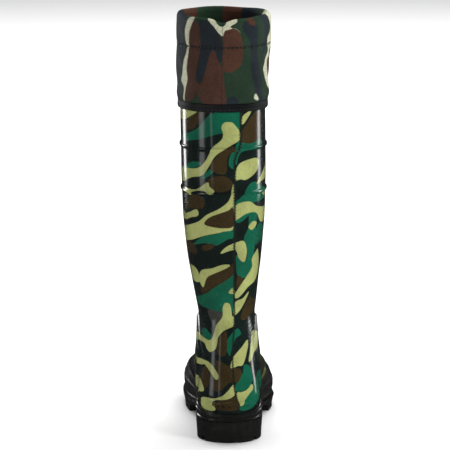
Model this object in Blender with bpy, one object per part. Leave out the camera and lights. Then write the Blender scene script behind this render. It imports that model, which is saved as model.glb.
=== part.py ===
"""Right-foot wading boot with a folded fabric cuff, built in metres, +Z up.

The toe points along +Y and the leg stands along +Z. All the layers of the
boot (sole wall, shell, knit sock, cuff) are laid off one leg-and-foot
surface, so a change of size moves every piece together.
"""

import math

import bmesh
import bpy
from mathutils import Vector

MM = 0.001

# Overall sizes, millimetres
SOLE_LENGTH = 305.0
BALL_WIDTH = 105.0
HEEL_WIDTH = 74.0
ANKLE_WIDTH = 68.6
SHAFT_WIDTH = 102.2
ANKLE_HEIGHT = 148.0
SHELL_TOP = 430.0

# Walls and fits, millimetres
GAP = 0.3
SOLE_GAP = 0.6
SHELL_WALL = 2.4
SHELL_FLOOR = 3.0
SOCK_WALL = 1.4
BOARD_THICKNESS = 2.0
INSOLE_THICKNESS = 4.0
INSOLE_INSET = 1.6
SLEEVE_WALL = 0.8
TAPE_THICKNESS = 0.8
FLAP_WALL = 1.0
THREAD = 0.6
RIB_RELIEF = 1.7
GUARD_RELIEF = 2.6
LEDGE_RELIEF = 3.6

# Levels up the nominal boot, millimetres
BOTTOM_LEVEL = 16.0
ANKLE_LEVEL = 148.0
SHELL_TOP_LEVEL = 430.0
SOCK_TOP_LEVEL = 405.0
LOW_RIB_LEVEL = 300.0
HIGH_RIB_LEVEL = 353.0
HEM_LOW_LEVEL = 397.6
HEM_TOP_LEVEL = 407.2
FLAP_LOW_LEVEL = HEM_TOP_LEVEL + GAP
TUCK_LEVEL = 474.0
FOLD_LEVEL = 511.5
HEEL_LIFT = 10.0
TOE_SPRING = 7.0
LIFT_FADE_LEVEL = 70.0

# Sole tread, millimetres
LUG_DEPTH = 5.0
WAIST_CLEARANCE = 12.0
LUG_ROWS = (
    (2.6, 5.0, 9.0, 15.0),
    (20.0, 26.0, 34.0),
    (39.0, 53.0),
    (58.0, 72.0),
    (76.0, 88.0),
    (168.0, 180.0),
    (186.0, 198.0),
    (204.0, 216.0),
    (222.0, 234.0),
    (240.0, 252.0),
    (258.0, 265.0, 272.0),
    (278.0, 284.0, 290.0),
)
END_ROWS = (0.0, 2.1, 296.0, 302.0, 305.0)
LUG_COLUMNS = (-1.0, -0.56, -0.42, 0.42, 0.56, 1.0)
WAIST_ROWS = (94.0, 110.0, 126.0, 142.0, 156.0)
TREAD_START = 166.0

AROUND = 36

# Leg and foot surface: (level, value) stations up the boot
BACK_Y = (
    (16, 4), (25, 3), (40, 2), (52, 2.5), (66, 4.5), (80, 8), (100, 12.5),
    (125, 18), (148, 22.5), (170, 22), (200, 18), (243, 12), (268, 9),
    (300, 7), (355, 8), (400, 10), (530, 10),
)
FRONT_Y = (
    (16, 297), (25, 300), (40, 299), (52, 291), (60, 279), (66, 262),
    (72, 243), (80, 218), (90, 193), (100, 175), (112, 159), (125, 146),
    (148, 133), (178, 129), (200, 131), (243, 139), (300, 143), (355, 146),
    (400, 146), (530, 146),
)
CENTRE_X = (
    (16, 5.2), (40, 5.0), (60, 4.4), (90, 3.4), (128, 2.4), (148, 1.8),
    (200, 0.0), (243, -1.0), (300, -1.5), (355, -2.2), (400, -2.6),
    (430, -2.4), (480, -1.5), (530, -1.3),
)
HEEL_SHARE = (
    (16, 0.945), (30, 1.0), (50, 1.013), (60, 1.0), (88, 0.96), (108, 0.945),
    (148, 0.93),
)
WAIST_SHARE = (
    (16, 0.63), (30, 0.686), (50, 0.752), (60, 0.762), (72, 0.762),
    (88, 0.733), (108, 0.686), (148, 0.655),
)
BALL_SHARE = (
    (16, 0.914), (22, 0.965), (30, 1.0), (40, 0.971), (50, 0.924),
    (60, 0.886), (72, 0.82), (88, 0.743), (108, 0.686), (148, 0.655),
)
LEG_SHARE = (
    (148, 0.0), (168, 0.18), (194, 0.41), (214, 0.59), (243, 0.77),
    (268, 0.89), (297, 0.95), (326, 1.0), (430, 1.0), (530, 1.0),
)
HEEL_ROUND = ((16, 40), (60, 42), (100, 50), (148, 55.3), (230, 74))
TOE_ROUND = ((16, 92), (45, 92), (60, 105), (80, 120), (100, 98), (148, 55.3), (230, 74))
TOE_INTURN = 9.0
SECTION_POWER = 2.15


def smooth(low, high, x):
    """Ramp from 0 at low to 1 at high with level ends."""
    share = min(1.0, max(0.0, (x - low) / (high - low)))
    return share * share * (3.0 - 2.0 * share)


def curve(stations, x):
    """Value at x on a smooth line through the stations."""
    if x <= stations[0][0]:
        return stations[0][1]
    if x >= stations[-1][0]:
        return stations[-1][1]
    last = len(stations) - 1
    k = max(i for i in range(last) if stations[i][0] <= x)
    x0, y0 = stations[k]
    x1, y1 = stations[k + 1]
    span = x1 - x0
    middle = (y1 - y0) / span
    before = middle
    after = middle
    if k > 0:
        before = (y0 - stations[k - 1][1]) / (x0 - stations[k - 1][0])
    if k + 1 < last:
        after = (stations[k + 2][1] - y1) / (stations[k + 2][0] - x1)
    slope0 = 0.0
    slope1 = 0.0
    if before * middle > 0.0:
        slope0 = 2.0 * before * middle / (before + middle)
    if after * middle > 0.0:
        slope1 = 2.0 * after * middle / (after + middle)
    t = (x - x0) / span
    a = (1.0 + 2.0 * t) * (1.0 - t) ** 2
    b = t * (1.0 - t) ** 2
    c = t * t * (3.0 - 2.0 * t)
    d = t * t * (t - 1.0)
    return a * y0 + b * span * slope0 + c * y1 + d * span * slope1


def lift(y, level):
    """Rise of the foot over the heel and at the toe."""
    fade = 1.0 - smooth(BOTTOM_LEVEL, LIFT_FADE_LEVEL, level)
    heel = HEEL_LIFT * (1.0 - smooth(58.0, 178.0, y))
    toe = TOE_SPRING * smooth(215.0, 330.0, y)
    return (heel + toe) * fade


def height(level):
    """Height of a nominal level on the sized boot."""
    if level <= ANKLE_LEVEL:
        return level * ANKLE_HEIGHT / ANKLE_LEVEL
    rise = (SHELL_TOP - ANKLE_HEIGHT) / (SHELL_TOP_LEVEL - ANKLE_LEVEL)
    return ANKLE_HEIGHT + (level - ANKLE_LEVEL) * rise


def rounding(s, heel_end, toe_end):
    """Share of the full half width at s along a section."""
    q = 1.0
    if s < heel_end:
        q = s / heel_end
    elif s > 1.0 - toe_end:
        q = (1.0 - s) / toe_end
    q = min(1.0, max(0.0, q))
    return (1.0 - (1.0 - q) ** SECTION_POWER) ** (1.0 / SECTION_POWER)


def half_width(y, level):
    """Half width of the surface at y, before the ends are rounded."""
    heel = curve(HEEL_SHARE, level) * HEEL_WIDTH / 2.0
    waist = curve(WAIST_SHARE, level) * BALL_WIDTH / 2.0
    ball = curve(BALL_SHARE, level) * BALL_WIDTH / 2.0
    foot = curve(((0, heel), (42, heel), (112, waist), (200, ball), (305, ball)), y)
    widen = SHAFT_WIDTH - ANKLE_WIDTH
    leg = (ANKLE_WIDTH + widen * curve(LEG_SHARE, level)) / 2.0
    blend = smooth(118.0, 148.0, level)
    return foot * (1.0 - blend) + leg * blend


def base_point(t, level):
    """Point on the surface: t runs from the back round the +X side."""
    turn = t % (2.0 * math.pi)
    side = 1.0
    if turn > math.pi:
        side = -1.0
        turn = 2.0 * math.pi - turn
    s = (1.0 - math.cos(turn)) / 2.0
    back = curve(BACK_Y, level)
    front = curve(FRONT_Y, level)
    length = front - back
    y = back + s * length
    heel_end = min(0.5, curve(HEEL_ROUND, level) / length)
    toe_end = min(0.5, curve(TOE_ROUND, level) / length)
    ends = rounding(s, heel_end, toe_end)
    foot = 1.0 - smooth(60.0, 120.0, level)
    inturn = TOE_INTURN * smooth(190.0, 305.0, y) * foot
    x = curve(CENTRE_X, level) - inturn + side * ends * half_width(y, level)
    z = height(level) + lift(y, level)
    return Vector((x, y * SOLE_LENGTH / 305.0, z))


def outward(t, level):
    """Unit normal, kept level near the bottom of the foot."""
    step = 0.02
    along = base_point(t + step, level) - base_point(t - step, level)
    low = max(BOTTOM_LEVEL, level - 1.0)
    up = base_point(t, level + 1.0) - base_point(t, low)
    normal = along.cross(up)
    keep = smooth(22.0, 40.0, level)
    normal.z = normal.z * keep
    return normal.normalized()


def relief(t, level):
    """Height of the moulded ribs, ankle guards and kick-off ledge."""
    turn = t % (2.0 * math.pi)
    if turn > math.pi:
        turn = 2.0 * math.pi - turn
    total = 0.0
    for rib in (LOW_RIB_LEVEL, HIGH_RIB_LEVEL):
        total += RIB_RELIEF * (1.0 - smooth(1.0, 2.6, abs(level - rib)))
    y = base_point(t, level).y
    across = abs(y - (72.0 + 0.12 * (level - 100.0)))
    reach = 30.0 * min(1.0, max(0.0, (144.0 - level) / 34.0))
    if level < 92.0:
        reach = 30.0 * max(0.0, (level - 50.0) / 42.0)
    if reach > 1.0:
        total += GUARD_RELIEF * (1.0 - smooth(reach - 3.0, reach + 3.0, across))
    ledge = 1.0 - smooth(2.0, 5.0, abs(level - 42.0))
    total += LEDGE_RELIEF * ledge * (1.0 - smooth(0.18, 0.42, turn))
    return total


def skin(t, level, offset, moulded=False):
    """Point on the surface pushed out by offset."""
    push = offset
    if moulded:
        push += relief(t, level)
    return base_point(t, level) + outward(t, level) * push


def finish(name, bm, material):
    """Weld, face outward and store a piece."""
    bmesh.ops.remove_doubles(bm, verts=bm.verts[:], dist=0.002)
    bmesh.ops.dissolve_degenerate(bm, edges=bm.edges[:], dist=0.001)
    bmesh.ops.scale(bm, vec=(MM, MM, MM), verts=bm.verts[:])
    bmesh.ops.recalc_face_normals(bm, faces=bm.faces[:])
    mesh = bpy.data.meshes.new(name)
    bm.to_mesh(mesh)
    bm.free()
    piece = bpy.data.objects.new(name, mesh)
    bpy.context.scene.collection.objects.link(piece)
    mesh.materials.append(material)
    return piece


def grid(columns, rows, place, falling=(), split=True):
    """Grid of columns by rows cells with its corners set by place.

    Cells are split corner to corner, the other way on falling rows, so two
    layers with the same stations lie parallel.
    """
    bm = bmesh.new()
    bmesh.ops.create_grid(bm, x_segments=columns, y_segments=rows, size=1.0)
    cell = {}
    for vertex in bm.verts:
        column = round((vertex.co.x + 1.0) * columns / 2.0)
        row = round((vertex.co.y + 1.0) * rows / 2.0)
        cell[vertex] = (column, row)
    for face in bm.faces[:] if split else ():
        corners = {cell[vertex]: vertex for vertex in face.verts}
        column = min(key[0] for key in corners)
        row = min(key[1] for key in corners)
        start = corners[(column, row)]
        end = corners[(column + 1, row + 1)]
        if row in falling:
            start = corners[(column + 1, row)]
            end = corners[(column, row + 1)]
        bmesh.utils.face_split(face, start, end)
    for vertex in bm.verts:
        vertex.co = place(*cell[vertex])
    return bm


def wrap(name, stations, material, closed=True):
    """Sweep a profile right round the boot.

    Each station is (level, offset, moulded, inset). The level may be a
    function of t. An inset of 1 brings the station to the middle line.
    """
    rows = list(stations)
    if closed:
        rows.append(rows[0])

    def place(column, row):
        t = 2.0 * math.pi * (column % AROUND) / AROUND
        level, offset, moulded, inset = rows[row]
        if callable(level):
            level = level(t)
        point = skin(t, level, offset, moulded)
        if inset:
            across = skin(-t, level, offset, moulded)
            point = point.lerp((point + across) / 2.0, inset)
        return point

    def nominal(row):
        level = rows[row][0]
        return level(math.pi) if callable(level) else level

    count = len(rows) - 1
    falling = {row for row in range(count) if nominal(row + 1) < nominal(row)}
    bm = grid(AROUND, count, place, falling)
    return finish(name, bm, material)


def ring(name, level, offset, width, material):
    """Thread of square section laid round the boot."""
    half = width / 2.0
    stations = (
        (level - half, offset, False, 0),
        (level + half, offset, False, 0),
        (level + half, offset + width, False, 0),
        (level - half, offset + width, False, 0),
    )
    return wrap(name, stations, material)


def facet(t, level, offset):
    """Point on the flat between two neighbouring columns."""
    step = 2.0 * math.pi / AROUND
    column = math.floor(t / step)
    start = skin(column * step, level, offset)
    end = skin((column + 1) * step, level, offset)
    return start.lerp(end, t / step - column)


def strip(name, t_middle, half_turn, levels, inner, outer, material):
    """Tape up the leg between two offsets given as functions of level."""
    corners = ((-1, 0), (1, 0), (1, 1), (-1, 1))

    def place(column, row):
        level = levels[min(row, len(levels) - 1)]
        edge, layer = corners[column % 4]
        t = t_middle(level) + edge * half_turn
        offset = outer(level) if layer else inner(level)
        return facet(t, level, offset)

    bm = grid(4, len(levels) - 1, place)
    bmesh.ops.remove_doubles(bm, verts=bm.verts[:], dist=0.002)
    rims = [edge for edge in bm.edges if edge.is_boundary]
    bmesh.ops.holes_fill(bm, edges=rims, sides=4)
    return finish(name, bm, material)


def slab(name, level_low, level_high, inset, material):
    """Foot-shaped board between two levels inside the foot."""
    outline = -(SHELL_WALL + GAP + SOCK_WALL + inset)
    shape_level = level_low

    def at(level):
        def place_level(t):
            point = skin(t, shape_level, outline)
            y = point.y * 305.0 / SOLE_LENGTH
            drop = height(level) + lift(y, BOTTOM_LEVEL)
            return Vector((point.x, point.y, drop))
        return place_level

    low = at(level_low)
    high = at(level_high)
    order = ((low, True), (low, False), (high, False), (high, True))

    def place(column, row):
        t = 2.0 * math.pi * (column % AROUND) / AROUND
        where, inward = order[row]
        point = where(t)
        if inward:
            return (point + where(-t)) / 2.0
        return point

    bm = grid(AROUND, len(order) - 1, place)
    return finish(name, bm, material)


def tread_sole(name, material):
    """Lugged outsole with a heel block, a raised waist and a forefoot."""
    rows = [y for y in END_ROWS if y < 100.0]
    lug_rows = []
    for breaks in LUG_ROWS:
        if breaks[0] > 100.0 and rows[-1] < 100.0:
            rows.extend(WAIST_ROWS)
        lug_rows.append(range(len(rows), len(rows) + len(breaks) - 1))
        rows.extend(breaks)
    rows.extend(y for y in END_ROWS if y > 100.0)
    back = curve(BACK_Y, 30.0)
    front = curve(FRONT_Y, 30.0)
    half_steps = len(LUG_COLUMNS) - 1

    def edge(row, column, fall):
        share = min(1.0, max(0.0, (rows[row] - back) / (front - back)))
        if row == 0:
            share = 0.0
        t = math.acos(1.0 - 2.0 * share)
        y = back + share * (front - back)
        fore = smooth(100.0, 160.0, y)
        reach = 3.3 + 1.5 * fore - fall * (1.4 + 1.2 * fore)
        right = skin(t, 30.0, reach)
        left = skin(-t, 30.0, reach)
        across = (LUG_COLUMNS[column] + 1.0) / 2.0
        point = left.lerp(right, across)
        return point

    def top(column, row):
        point = edge(row, column, 0.0)
        y = point.y * 305.0 / SOLE_LENGTH
        point.z = height(BOTTOM_LEVEL) + lift(y, BOTTOM_LEVEL) - SOLE_GAP
        return point

    def root(column, row):
        point = edge(row, column, 1.0)
        y = point.y * 305.0 / SOLE_LENGTH
        waist = smooth(88.0, 95.0, y)
        waist *= 1.0 - smooth(TREAD_START - 16.0, TREAD_START, y)
        spring = TOE_SPRING * smooth(215.0, 330.0, y)
        point.z = LUG_DEPTH + spring + waist * (WAIST_CLEARANCE - LUG_DEPTH)
        return point

    bm = grid(
        half_steps,
        len(rows) - 1,
        lambda column, row: Vector((column, row, 0.0)),
        split=False,
    )
    upper = bm.faces[:]
    made = bmesh.ops.extrude_face_region(bm, geom=upper)
    lower = [item for item in made["geom"] if isinstance(item, bmesh.types.BMVert)]
    floor = [item for item in made["geom"] if isinstance(item, bmesh.types.BMFace)]
    lower_set = set(lower)
    lugs = {}
    for face in floor:
        middle = face.calc_center_median()
        column = int(middle.x)
        row = int(middle.y)
        for number, span in enumerate(lug_rows):
            if row in span and column % 2 == 0:
                lugs.setdefault((number, column), []).append(face)
    for vertex in bm.verts:
        column = round(vertex.co.x)
        row = round(vertex.co.y)
        if vertex in lower_set:
            vertex.co = root(column, row)
        else:
            vertex.co = top(column, row)
    for faces in lugs.values():
        edges = {edge for face in faces for edge in face.edges}
        made = bmesh.ops.extrude_face_region(bm, geom=[*faces, *edges])
        tips = [item for item in made["geom"] if isinstance(item, bmesh.types.BMVert)]
        bmesh.ops.translate(bm, verts=tips, vec=(0.0, 0.0, -LUG_DEPTH))
    return finish(name, bm, material)


def surface_material(name, colour, roughness, coat=0.0):
    """Principled material for a slot."""
    material = bpy.data.materials.new(name)
    material.use_nodes = True
    shader = material.node_tree.nodes["Principled BSDF"]
    shader.inputs["Base Color"].default_value = (*colour, 1.0)
    shader.inputs["Roughness"].default_value = roughness
    shader.inputs["Coat Weight"].default_value = coat
    return material


def foxing_top(t):
    """Upper edge of the black sole wall, low at the heel back."""
    y = base_point(t, 30.0).y * 305.0 / SOLE_LENGTH
    stations = ((0, 24.5), (14, 28), (40, 38), (100, 44), (185, 51), (305, 50))
    return curve(stations, y)


def share_of_foxing(share):
    """Level at a share of the way up the sole wall."""
    def level(t):
        return BOTTOM_LEVEL + share * (foxing_top(t) - BOTTOM_LEVEL)
    return level


def below_foxing(most):
    """Level held under the upper edge of the sole wall."""
    def level(t):
        return min(most, foxing_top(t))
    return level


def build():
    """Make every piece of the boot."""
    black = surface_material("black_pvc", (0.012, 0.012, 0.013), 0.35)
    camo = surface_material("camo_pvc", (0.06, 0.11, 0.05), 0.12, 1.0)
    knit = surface_material("camo_knit", (0.10, 0.12, 0.07), 0.9)
    nylon = surface_material("camo_nylon", (0.05, 0.07, 0.04), 0.8)
    tape = surface_material("black_tape", (0.015, 0.015, 0.015), 0.7)
    thread = surface_material("dark_thread", (0.03, 0.03, 0.025), 0.8)
    board = surface_material("insole_board", (0.35, 0.27, 0.18), 0.9)
    felt = surface_material("insole_felt", (0.16, 0.16, 0.17), 0.95)

    tread_sole("outsole", black)

    wall = GAP
    foxing = (
        (share_of_foxing(0.0), wall, False, 0),
        (share_of_foxing(0.0), wall + 4.4, False, 0),
        (share_of_foxing(0.12), wall + 4.6, False, 0),
        (share_of_foxing(0.24), wall + 3.2, False, 0),
        (share_of_foxing(0.48), wall + 3.0, False, 0),
        (share_of_foxing(0.60), wall + 3.4, False, 0),
        (share_of_foxing(0.72), wall + 2.6, False, 0),
        (share_of_foxing(1.0), wall + 1.8, False, 0),
    ) + tuple((below_foxing(most), wall, False, 0) for most in (60, 47, 44, 40, 37, 30, 22))
    wrap("sole_wall", foxing, black)

    inner_levels = (
        18, 23, 30, 38, 46, 54, 62, 70, 78, 88, 98, 110, 124, 138, 152, 170,
        190, 214, 243, 275, 320, 365,
    )
    outer_levels = (
        16, 22, 30, 37, 40, 44, 47, 54, 60, 66, 72, 80, 90, 100, 112, 125, 136,
        142, 146, 152, 170, 190, 214, 243, 275, 297.4, 299, 301, 302.6, 325,
        350.4, 352, 354, 355.6, 380, 397.6, SOCK_TOP_LEVEL, SHELL_TOP_LEVEL,
    )
    floor = BOTTOM_LEVEL + SHELL_FLOOR
    shell = [(BOTTOM_LEVEL, 0.0, False, 1.0)]
    shell += [(level, 0.0, True, 0) for level in outer_levels]
    inside = [level for level in inner_levels if level > floor]
    shell += [(SHELL_TOP_LEVEL, -SHELL_WALL, False, 0)]
    shell += [(SOCK_TOP_LEVEL, -SHELL_WALL, False, 0)]
    shell += [(level, -SHELL_WALL, False, 0) for level in reversed(inside)]
    shell += [(floor, -SHELL_WALL, False, 0), (floor, -SHELL_WALL, False, 1.0)]
    wrap("leg_and_foot_shell", shell, camo, closed=False)

    sock_out = -(SHELL_WALL + GAP)
    sock_in = sock_out - SOCK_WALL
    sock_low = floor + GAP
    sock_floor = sock_low + SOCK_WALL
    sock = [(sock_low, sock_out, False, 1.0), (sock_low, sock_out, False, 0)]
    sock += [(level, sock_out, False, 0) for level in inside]
    sock += [(SOCK_TOP_LEVEL, sock_out, False, 0)]
    sock += [(SOCK_TOP_LEVEL, sock_in, False, 0)]
    sock += [(level, sock_in, False, 0) for level in reversed(inside)]
    sock += [(sock_floor, sock_in, False, 0), (sock_floor, sock_in, False, 1.0)]
    wrap("knit_sock_lining", sock, knit, closed=False)

    def sock_seam_turn(level):
        return 0.26 + 0.14 * smooth(250.0, 400.0, level)

    seam_levels = [level for level in inside if level > 60.0] + [SOCK_TOP_LEVEL]
    strip(
        "sock_back_seam",
        sock_seam_turn,
        0.045,
        seam_levels,
        lambda level: sock_in - GAP - 0.9,
        lambda level: sock_in - GAP,
        knit,
    )

    board_low = sock_floor + GAP
    board_high = board_low + BOARD_THICKNESS
    insole_low = board_high + GAP
    insole_high = insole_low + INSOLE_THICKNESS
    slab("insole_board", board_low, board_high, INSOLE_INSET, board)
    slab("removable_insole", insole_low, insole_high, INSOLE_INSET, felt)

    sleeve_out = -(SHELL_WALL + GAP)
    sleeve_in = sleeve_out - SLEEVE_WALL
    sleeve_low = SOCK_TOP_LEVEL + GAP
    sleeve_top = FOLD_LEVEL - 6.3
    sleeve = (
        (sleeve_low, sleeve_out, False, 0),
        (SHELL_TOP_LEVEL, sleeve_out, False, 0),
        (470.0, sleeve_out + 0.3, False, 0),
        (sleeve_top, sleeve_out + 0.5, False, 0),
        (sleeve_top, sleeve_in + 0.5, False, 0),
        (470.0, sleeve_in + 0.3, False, 0),
        (SHELL_TOP_LEVEL, sleeve_in, False, 0),
        (sleeve_low, sleeve_in, False, 0),
    )
    wrap("upper_sleeve", sleeve, nylon)

    joint_out = sleeve_in - GAP
    joint = (
        (409.0, joint_out, False, 0),
        (434.0, joint_out, False, 0),
        (434.0, joint_out - TAPE_THICKNESS, False, 0),
        (409.0, joint_out - TAPE_THICKNESS, False, 0),
    )
    wrap("sleeve_joint_tape", joint, tape)

    strip(
        "sleeve_seam_tape",
        lambda level: -0.02,
        0.05,
        (437.0, 470.0, sleeve_top - 1.0),
        lambda level: sleeve_in - GAP - 0.6,
        lambda level: sleeve_in - GAP,
        tape,
    )

    start_low = sleeve_top + GAP
    inner_edge = sleeve_in + 0.5
    fold = (
        (FLAP_LOW_LEVEL, 3.2, False, 0),
        (414.0, 4.6, False, 0),
        (428.0, 4.9, False, 0),
        (450.0, 5.7, False, 0),
        (TUCK_LEVEL, 6.0, False, 0),
        (start_low, 6.0, False, 0),
        (FOLD_LEVEL - 2.6, 5.0, False, 0),
        (FOLD_LEVEL - 0.5, 2.9, False, 0),
        (FOLD_LEVEL, 1.4, False, 0),
        (FOLD_LEVEL - 0.6, -0.6, False, 0),
        (FOLD_LEVEL - 2.6, -2.1, False, 0),
        (start_low, inner_edge, False, 0),
        (start_low, inner_edge + FLAP_WALL, False, 0),
        (FOLD_LEVEL - 3.2, -1.2, False, 0),
        (FOLD_LEVEL - 1.5, 0.0, False, 0),
        (FOLD_LEVEL - 1.0, 1.4, False, 0),
        (FOLD_LEVEL - 1.4, 2.7, False, 0),
        (FOLD_LEVEL - 3.2, 4.2, False, 0),
        (start_low, 5.0, False, 0),
        (TUCK_LEVEL, 5.0, False, 0),
        (450.0, 4.7, False, 0),
        (428.0, 3.9, False, 0),
        (414.0, 3.6, False, 0),
        (FLAP_LOW_LEVEL, 2.2, False, 0),
    )
    wrap("upper_flap", fold, nylon)

    flap_inside = ((403, 2.2), (414, 3.6), (428, 3.9), (450, 4.7), (474, 5.0), (505, 5.0))
    strip(
        "flap_seam_tape",
        lambda level: -0.02,
        0.05,
        (414.0, 428.0, 450.0, 474.0, 500.0),
        lambda level: curve(flap_inside, level) - GAP - 0.7,
        lambda level: curve(flap_inside, level) - GAP,
        tape,
    )
    ring("tuck_stitching", TUCK_LEVEL, 6.0 + GAP, THREAD, thread)

    hem = (
        (HEM_LOW_LEVEL, 0.5, False, 0),
        (HEM_LOW_LEVEL, 2.6, False, 0),
        (HEM_LOW_LEVEL + 1.0, 3.0, False, 0),
        (HEM_TOP_LEVEL - 1.0, 3.2, False, 0),
        (HEM_TOP_LEVEL, 3.0, False, 0),
        (HEM_TOP_LEVEL, 0.5, False, 0),
    )
    wrap("hem_binding", hem, tape)
    ring("hem_stitching", HEM_LOW_LEVEL + 2.6, 3.2 + GAP, THREAD, thread)


def centre():
    """Bring the middle of the boot's footprint box over the origin."""
    pieces = bpy.context.scene.objects[:]
    points = [vertex.co for piece in pieces for vertex in piece.data.vertices]
    low = [min(point[axis] for point in points) for axis in range(3)]
    high = [max(point[axis] for point in points) for axis in range(3)]
    shift = Vector((-(low[0] + high[0]) / 2.0, -(low[1] + high[1]) / 2.0, -low[2]))
    for piece in pieces:
        for vertex in piece.data.vertices:
            vertex.co = vertex.co + shift
        piece.data.update()


for old in list(bpy.data.objects):
    bpy.data.objects.remove(old)
build()
centre()
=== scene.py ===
"""Wading boot with a folded fabric cuff: detailed pieces and finishes.

Every layer is laid off one leg-and-foot form, so the pieces keep the walls
and clearances of the fixed frame that they stand on.
"""

import logging
import math
from collections.abc import Sequence
from dataclasses import dataclass
from enum import Enum

import bmesh
import bpy
import numpy as np
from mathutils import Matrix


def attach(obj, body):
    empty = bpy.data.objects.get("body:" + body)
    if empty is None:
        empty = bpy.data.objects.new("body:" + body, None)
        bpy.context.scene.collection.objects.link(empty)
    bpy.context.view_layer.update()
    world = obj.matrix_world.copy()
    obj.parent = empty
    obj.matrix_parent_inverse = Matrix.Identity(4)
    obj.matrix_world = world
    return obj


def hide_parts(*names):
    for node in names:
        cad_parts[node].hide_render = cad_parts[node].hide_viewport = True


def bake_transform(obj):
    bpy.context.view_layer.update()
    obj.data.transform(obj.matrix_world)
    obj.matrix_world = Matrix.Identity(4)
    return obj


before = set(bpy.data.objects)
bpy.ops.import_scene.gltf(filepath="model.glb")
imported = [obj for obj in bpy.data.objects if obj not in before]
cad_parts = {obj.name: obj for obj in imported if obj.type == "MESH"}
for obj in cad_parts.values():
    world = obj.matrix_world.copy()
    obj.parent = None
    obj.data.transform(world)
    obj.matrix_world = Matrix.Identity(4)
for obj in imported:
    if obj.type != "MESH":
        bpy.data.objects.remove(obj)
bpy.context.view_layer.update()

LOG = logging.getLogger("wading_boot")

MM = 0.001
ORIGIN = (-1.3431, -151.5371, 0.0)

# Walls and levels of the boot, millimetres
GAP = 0.3
BOTTOM = 16.0
SHELL_WALL = 2.4
SHELL_FLOOR = 3.0
SOCK_WALL = 1.4
SOCK_TOP = 405.0
SHELL_TOP = 430.0
HEM_LOW = 397.6
HEM_TOP = 407.2
TUCK = 474.0
FOLD = 511.5
SLEEVE_WALL = 0.8
INSOLE_LOW = 23.3
INSOLE_OUT = -5.7
SLEEVE_TOP = FOLD - 6.3
SLEEVE_OUT = -(SHELL_WALL + GAP)
SLEEVE_IN = SLEEVE_OUT - SLEEVE_WALL
JOIN_TURN = -0.02
SIDE_END = 0.93
RIB_LEVELS = (300.0, 353.0)
TUCK_THREAD_OUT = 5.6
HEM_THREAD_OUT = 3.55
RIB_STEPS = (-2.6, -1.8, -1.0, 1.0, 1.8, 2.6)

Stations = Sequence[tuple]
Array = np.ndarray


class Tint(Enum):
    """Inks of the two camouflage prints."""

    GREEN = "green"
    BROWN = "brown"
    TAN = "tan"
    DARK = "dark"
    SLATE = "slate"


@dataclass(frozen=True)
class Patch:
    """One printed blotch: corners as (share across, level in mm)."""

    tint: Tint
    corners: tuple[tuple[float, float], ...]


def ramp(low: float, high: float, x: Array) -> Array:
    """Ramp from 0 at low to 1 at high with level ends."""
    share = np.clip((np.asarray(x, dtype=float) - low) / (high - low), 0.0, 1.0)
    return share * share * (3.0 - 2.0 * share)


def follow(stations: Stations, x: Array) -> Array:
    """Read a smooth line through stations whose values may be arrays.

    Args:
        stations: (position, value) pairs in rising order.
        x: Positions to read.

    Returns:
        The values at x.
    """
    x = np.asarray(x, dtype=float)
    places = [float(station[0]) for station in stations]
    values = [np.asarray(station[1], dtype=float) for station in stations]
    last = len(places) - 1
    slopes = [
        (values[k + 1] - values[k]) / (places[k + 1] - places[k]) for k in range(last)
    ]
    with np.errstate(divide="ignore", invalid="ignore"):
        tangents = [slopes[0]]
        for k in range(1, last):
            product = slopes[k - 1] * slopes[k]
            total = slopes[k - 1] + slopes[k]
            tangents.append(np.where(product > 0.0, 2.0 * product / total, 0.0))
        tangents.append(slopes[-1])
    result = values[0] + 0.0 * x
    for k in range(last):
        span = places[k + 1] - places[k]
        t = np.clip((x - places[k]) / span, 0.0, 1.0)
        piece = (
            (1.0 + 2.0 * t) * (1.0 - t) ** 2 * values[k]
            + t * (1.0 - t) ** 2 * span * tangents[k]
            + t * t * (3.0 - 2.0 * t) * values[k + 1]
            + t * t * (t - 1.0) * span * tangents[k + 1]
        )
        result = np.where(x >= places[k], piece, result)
    return result


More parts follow.
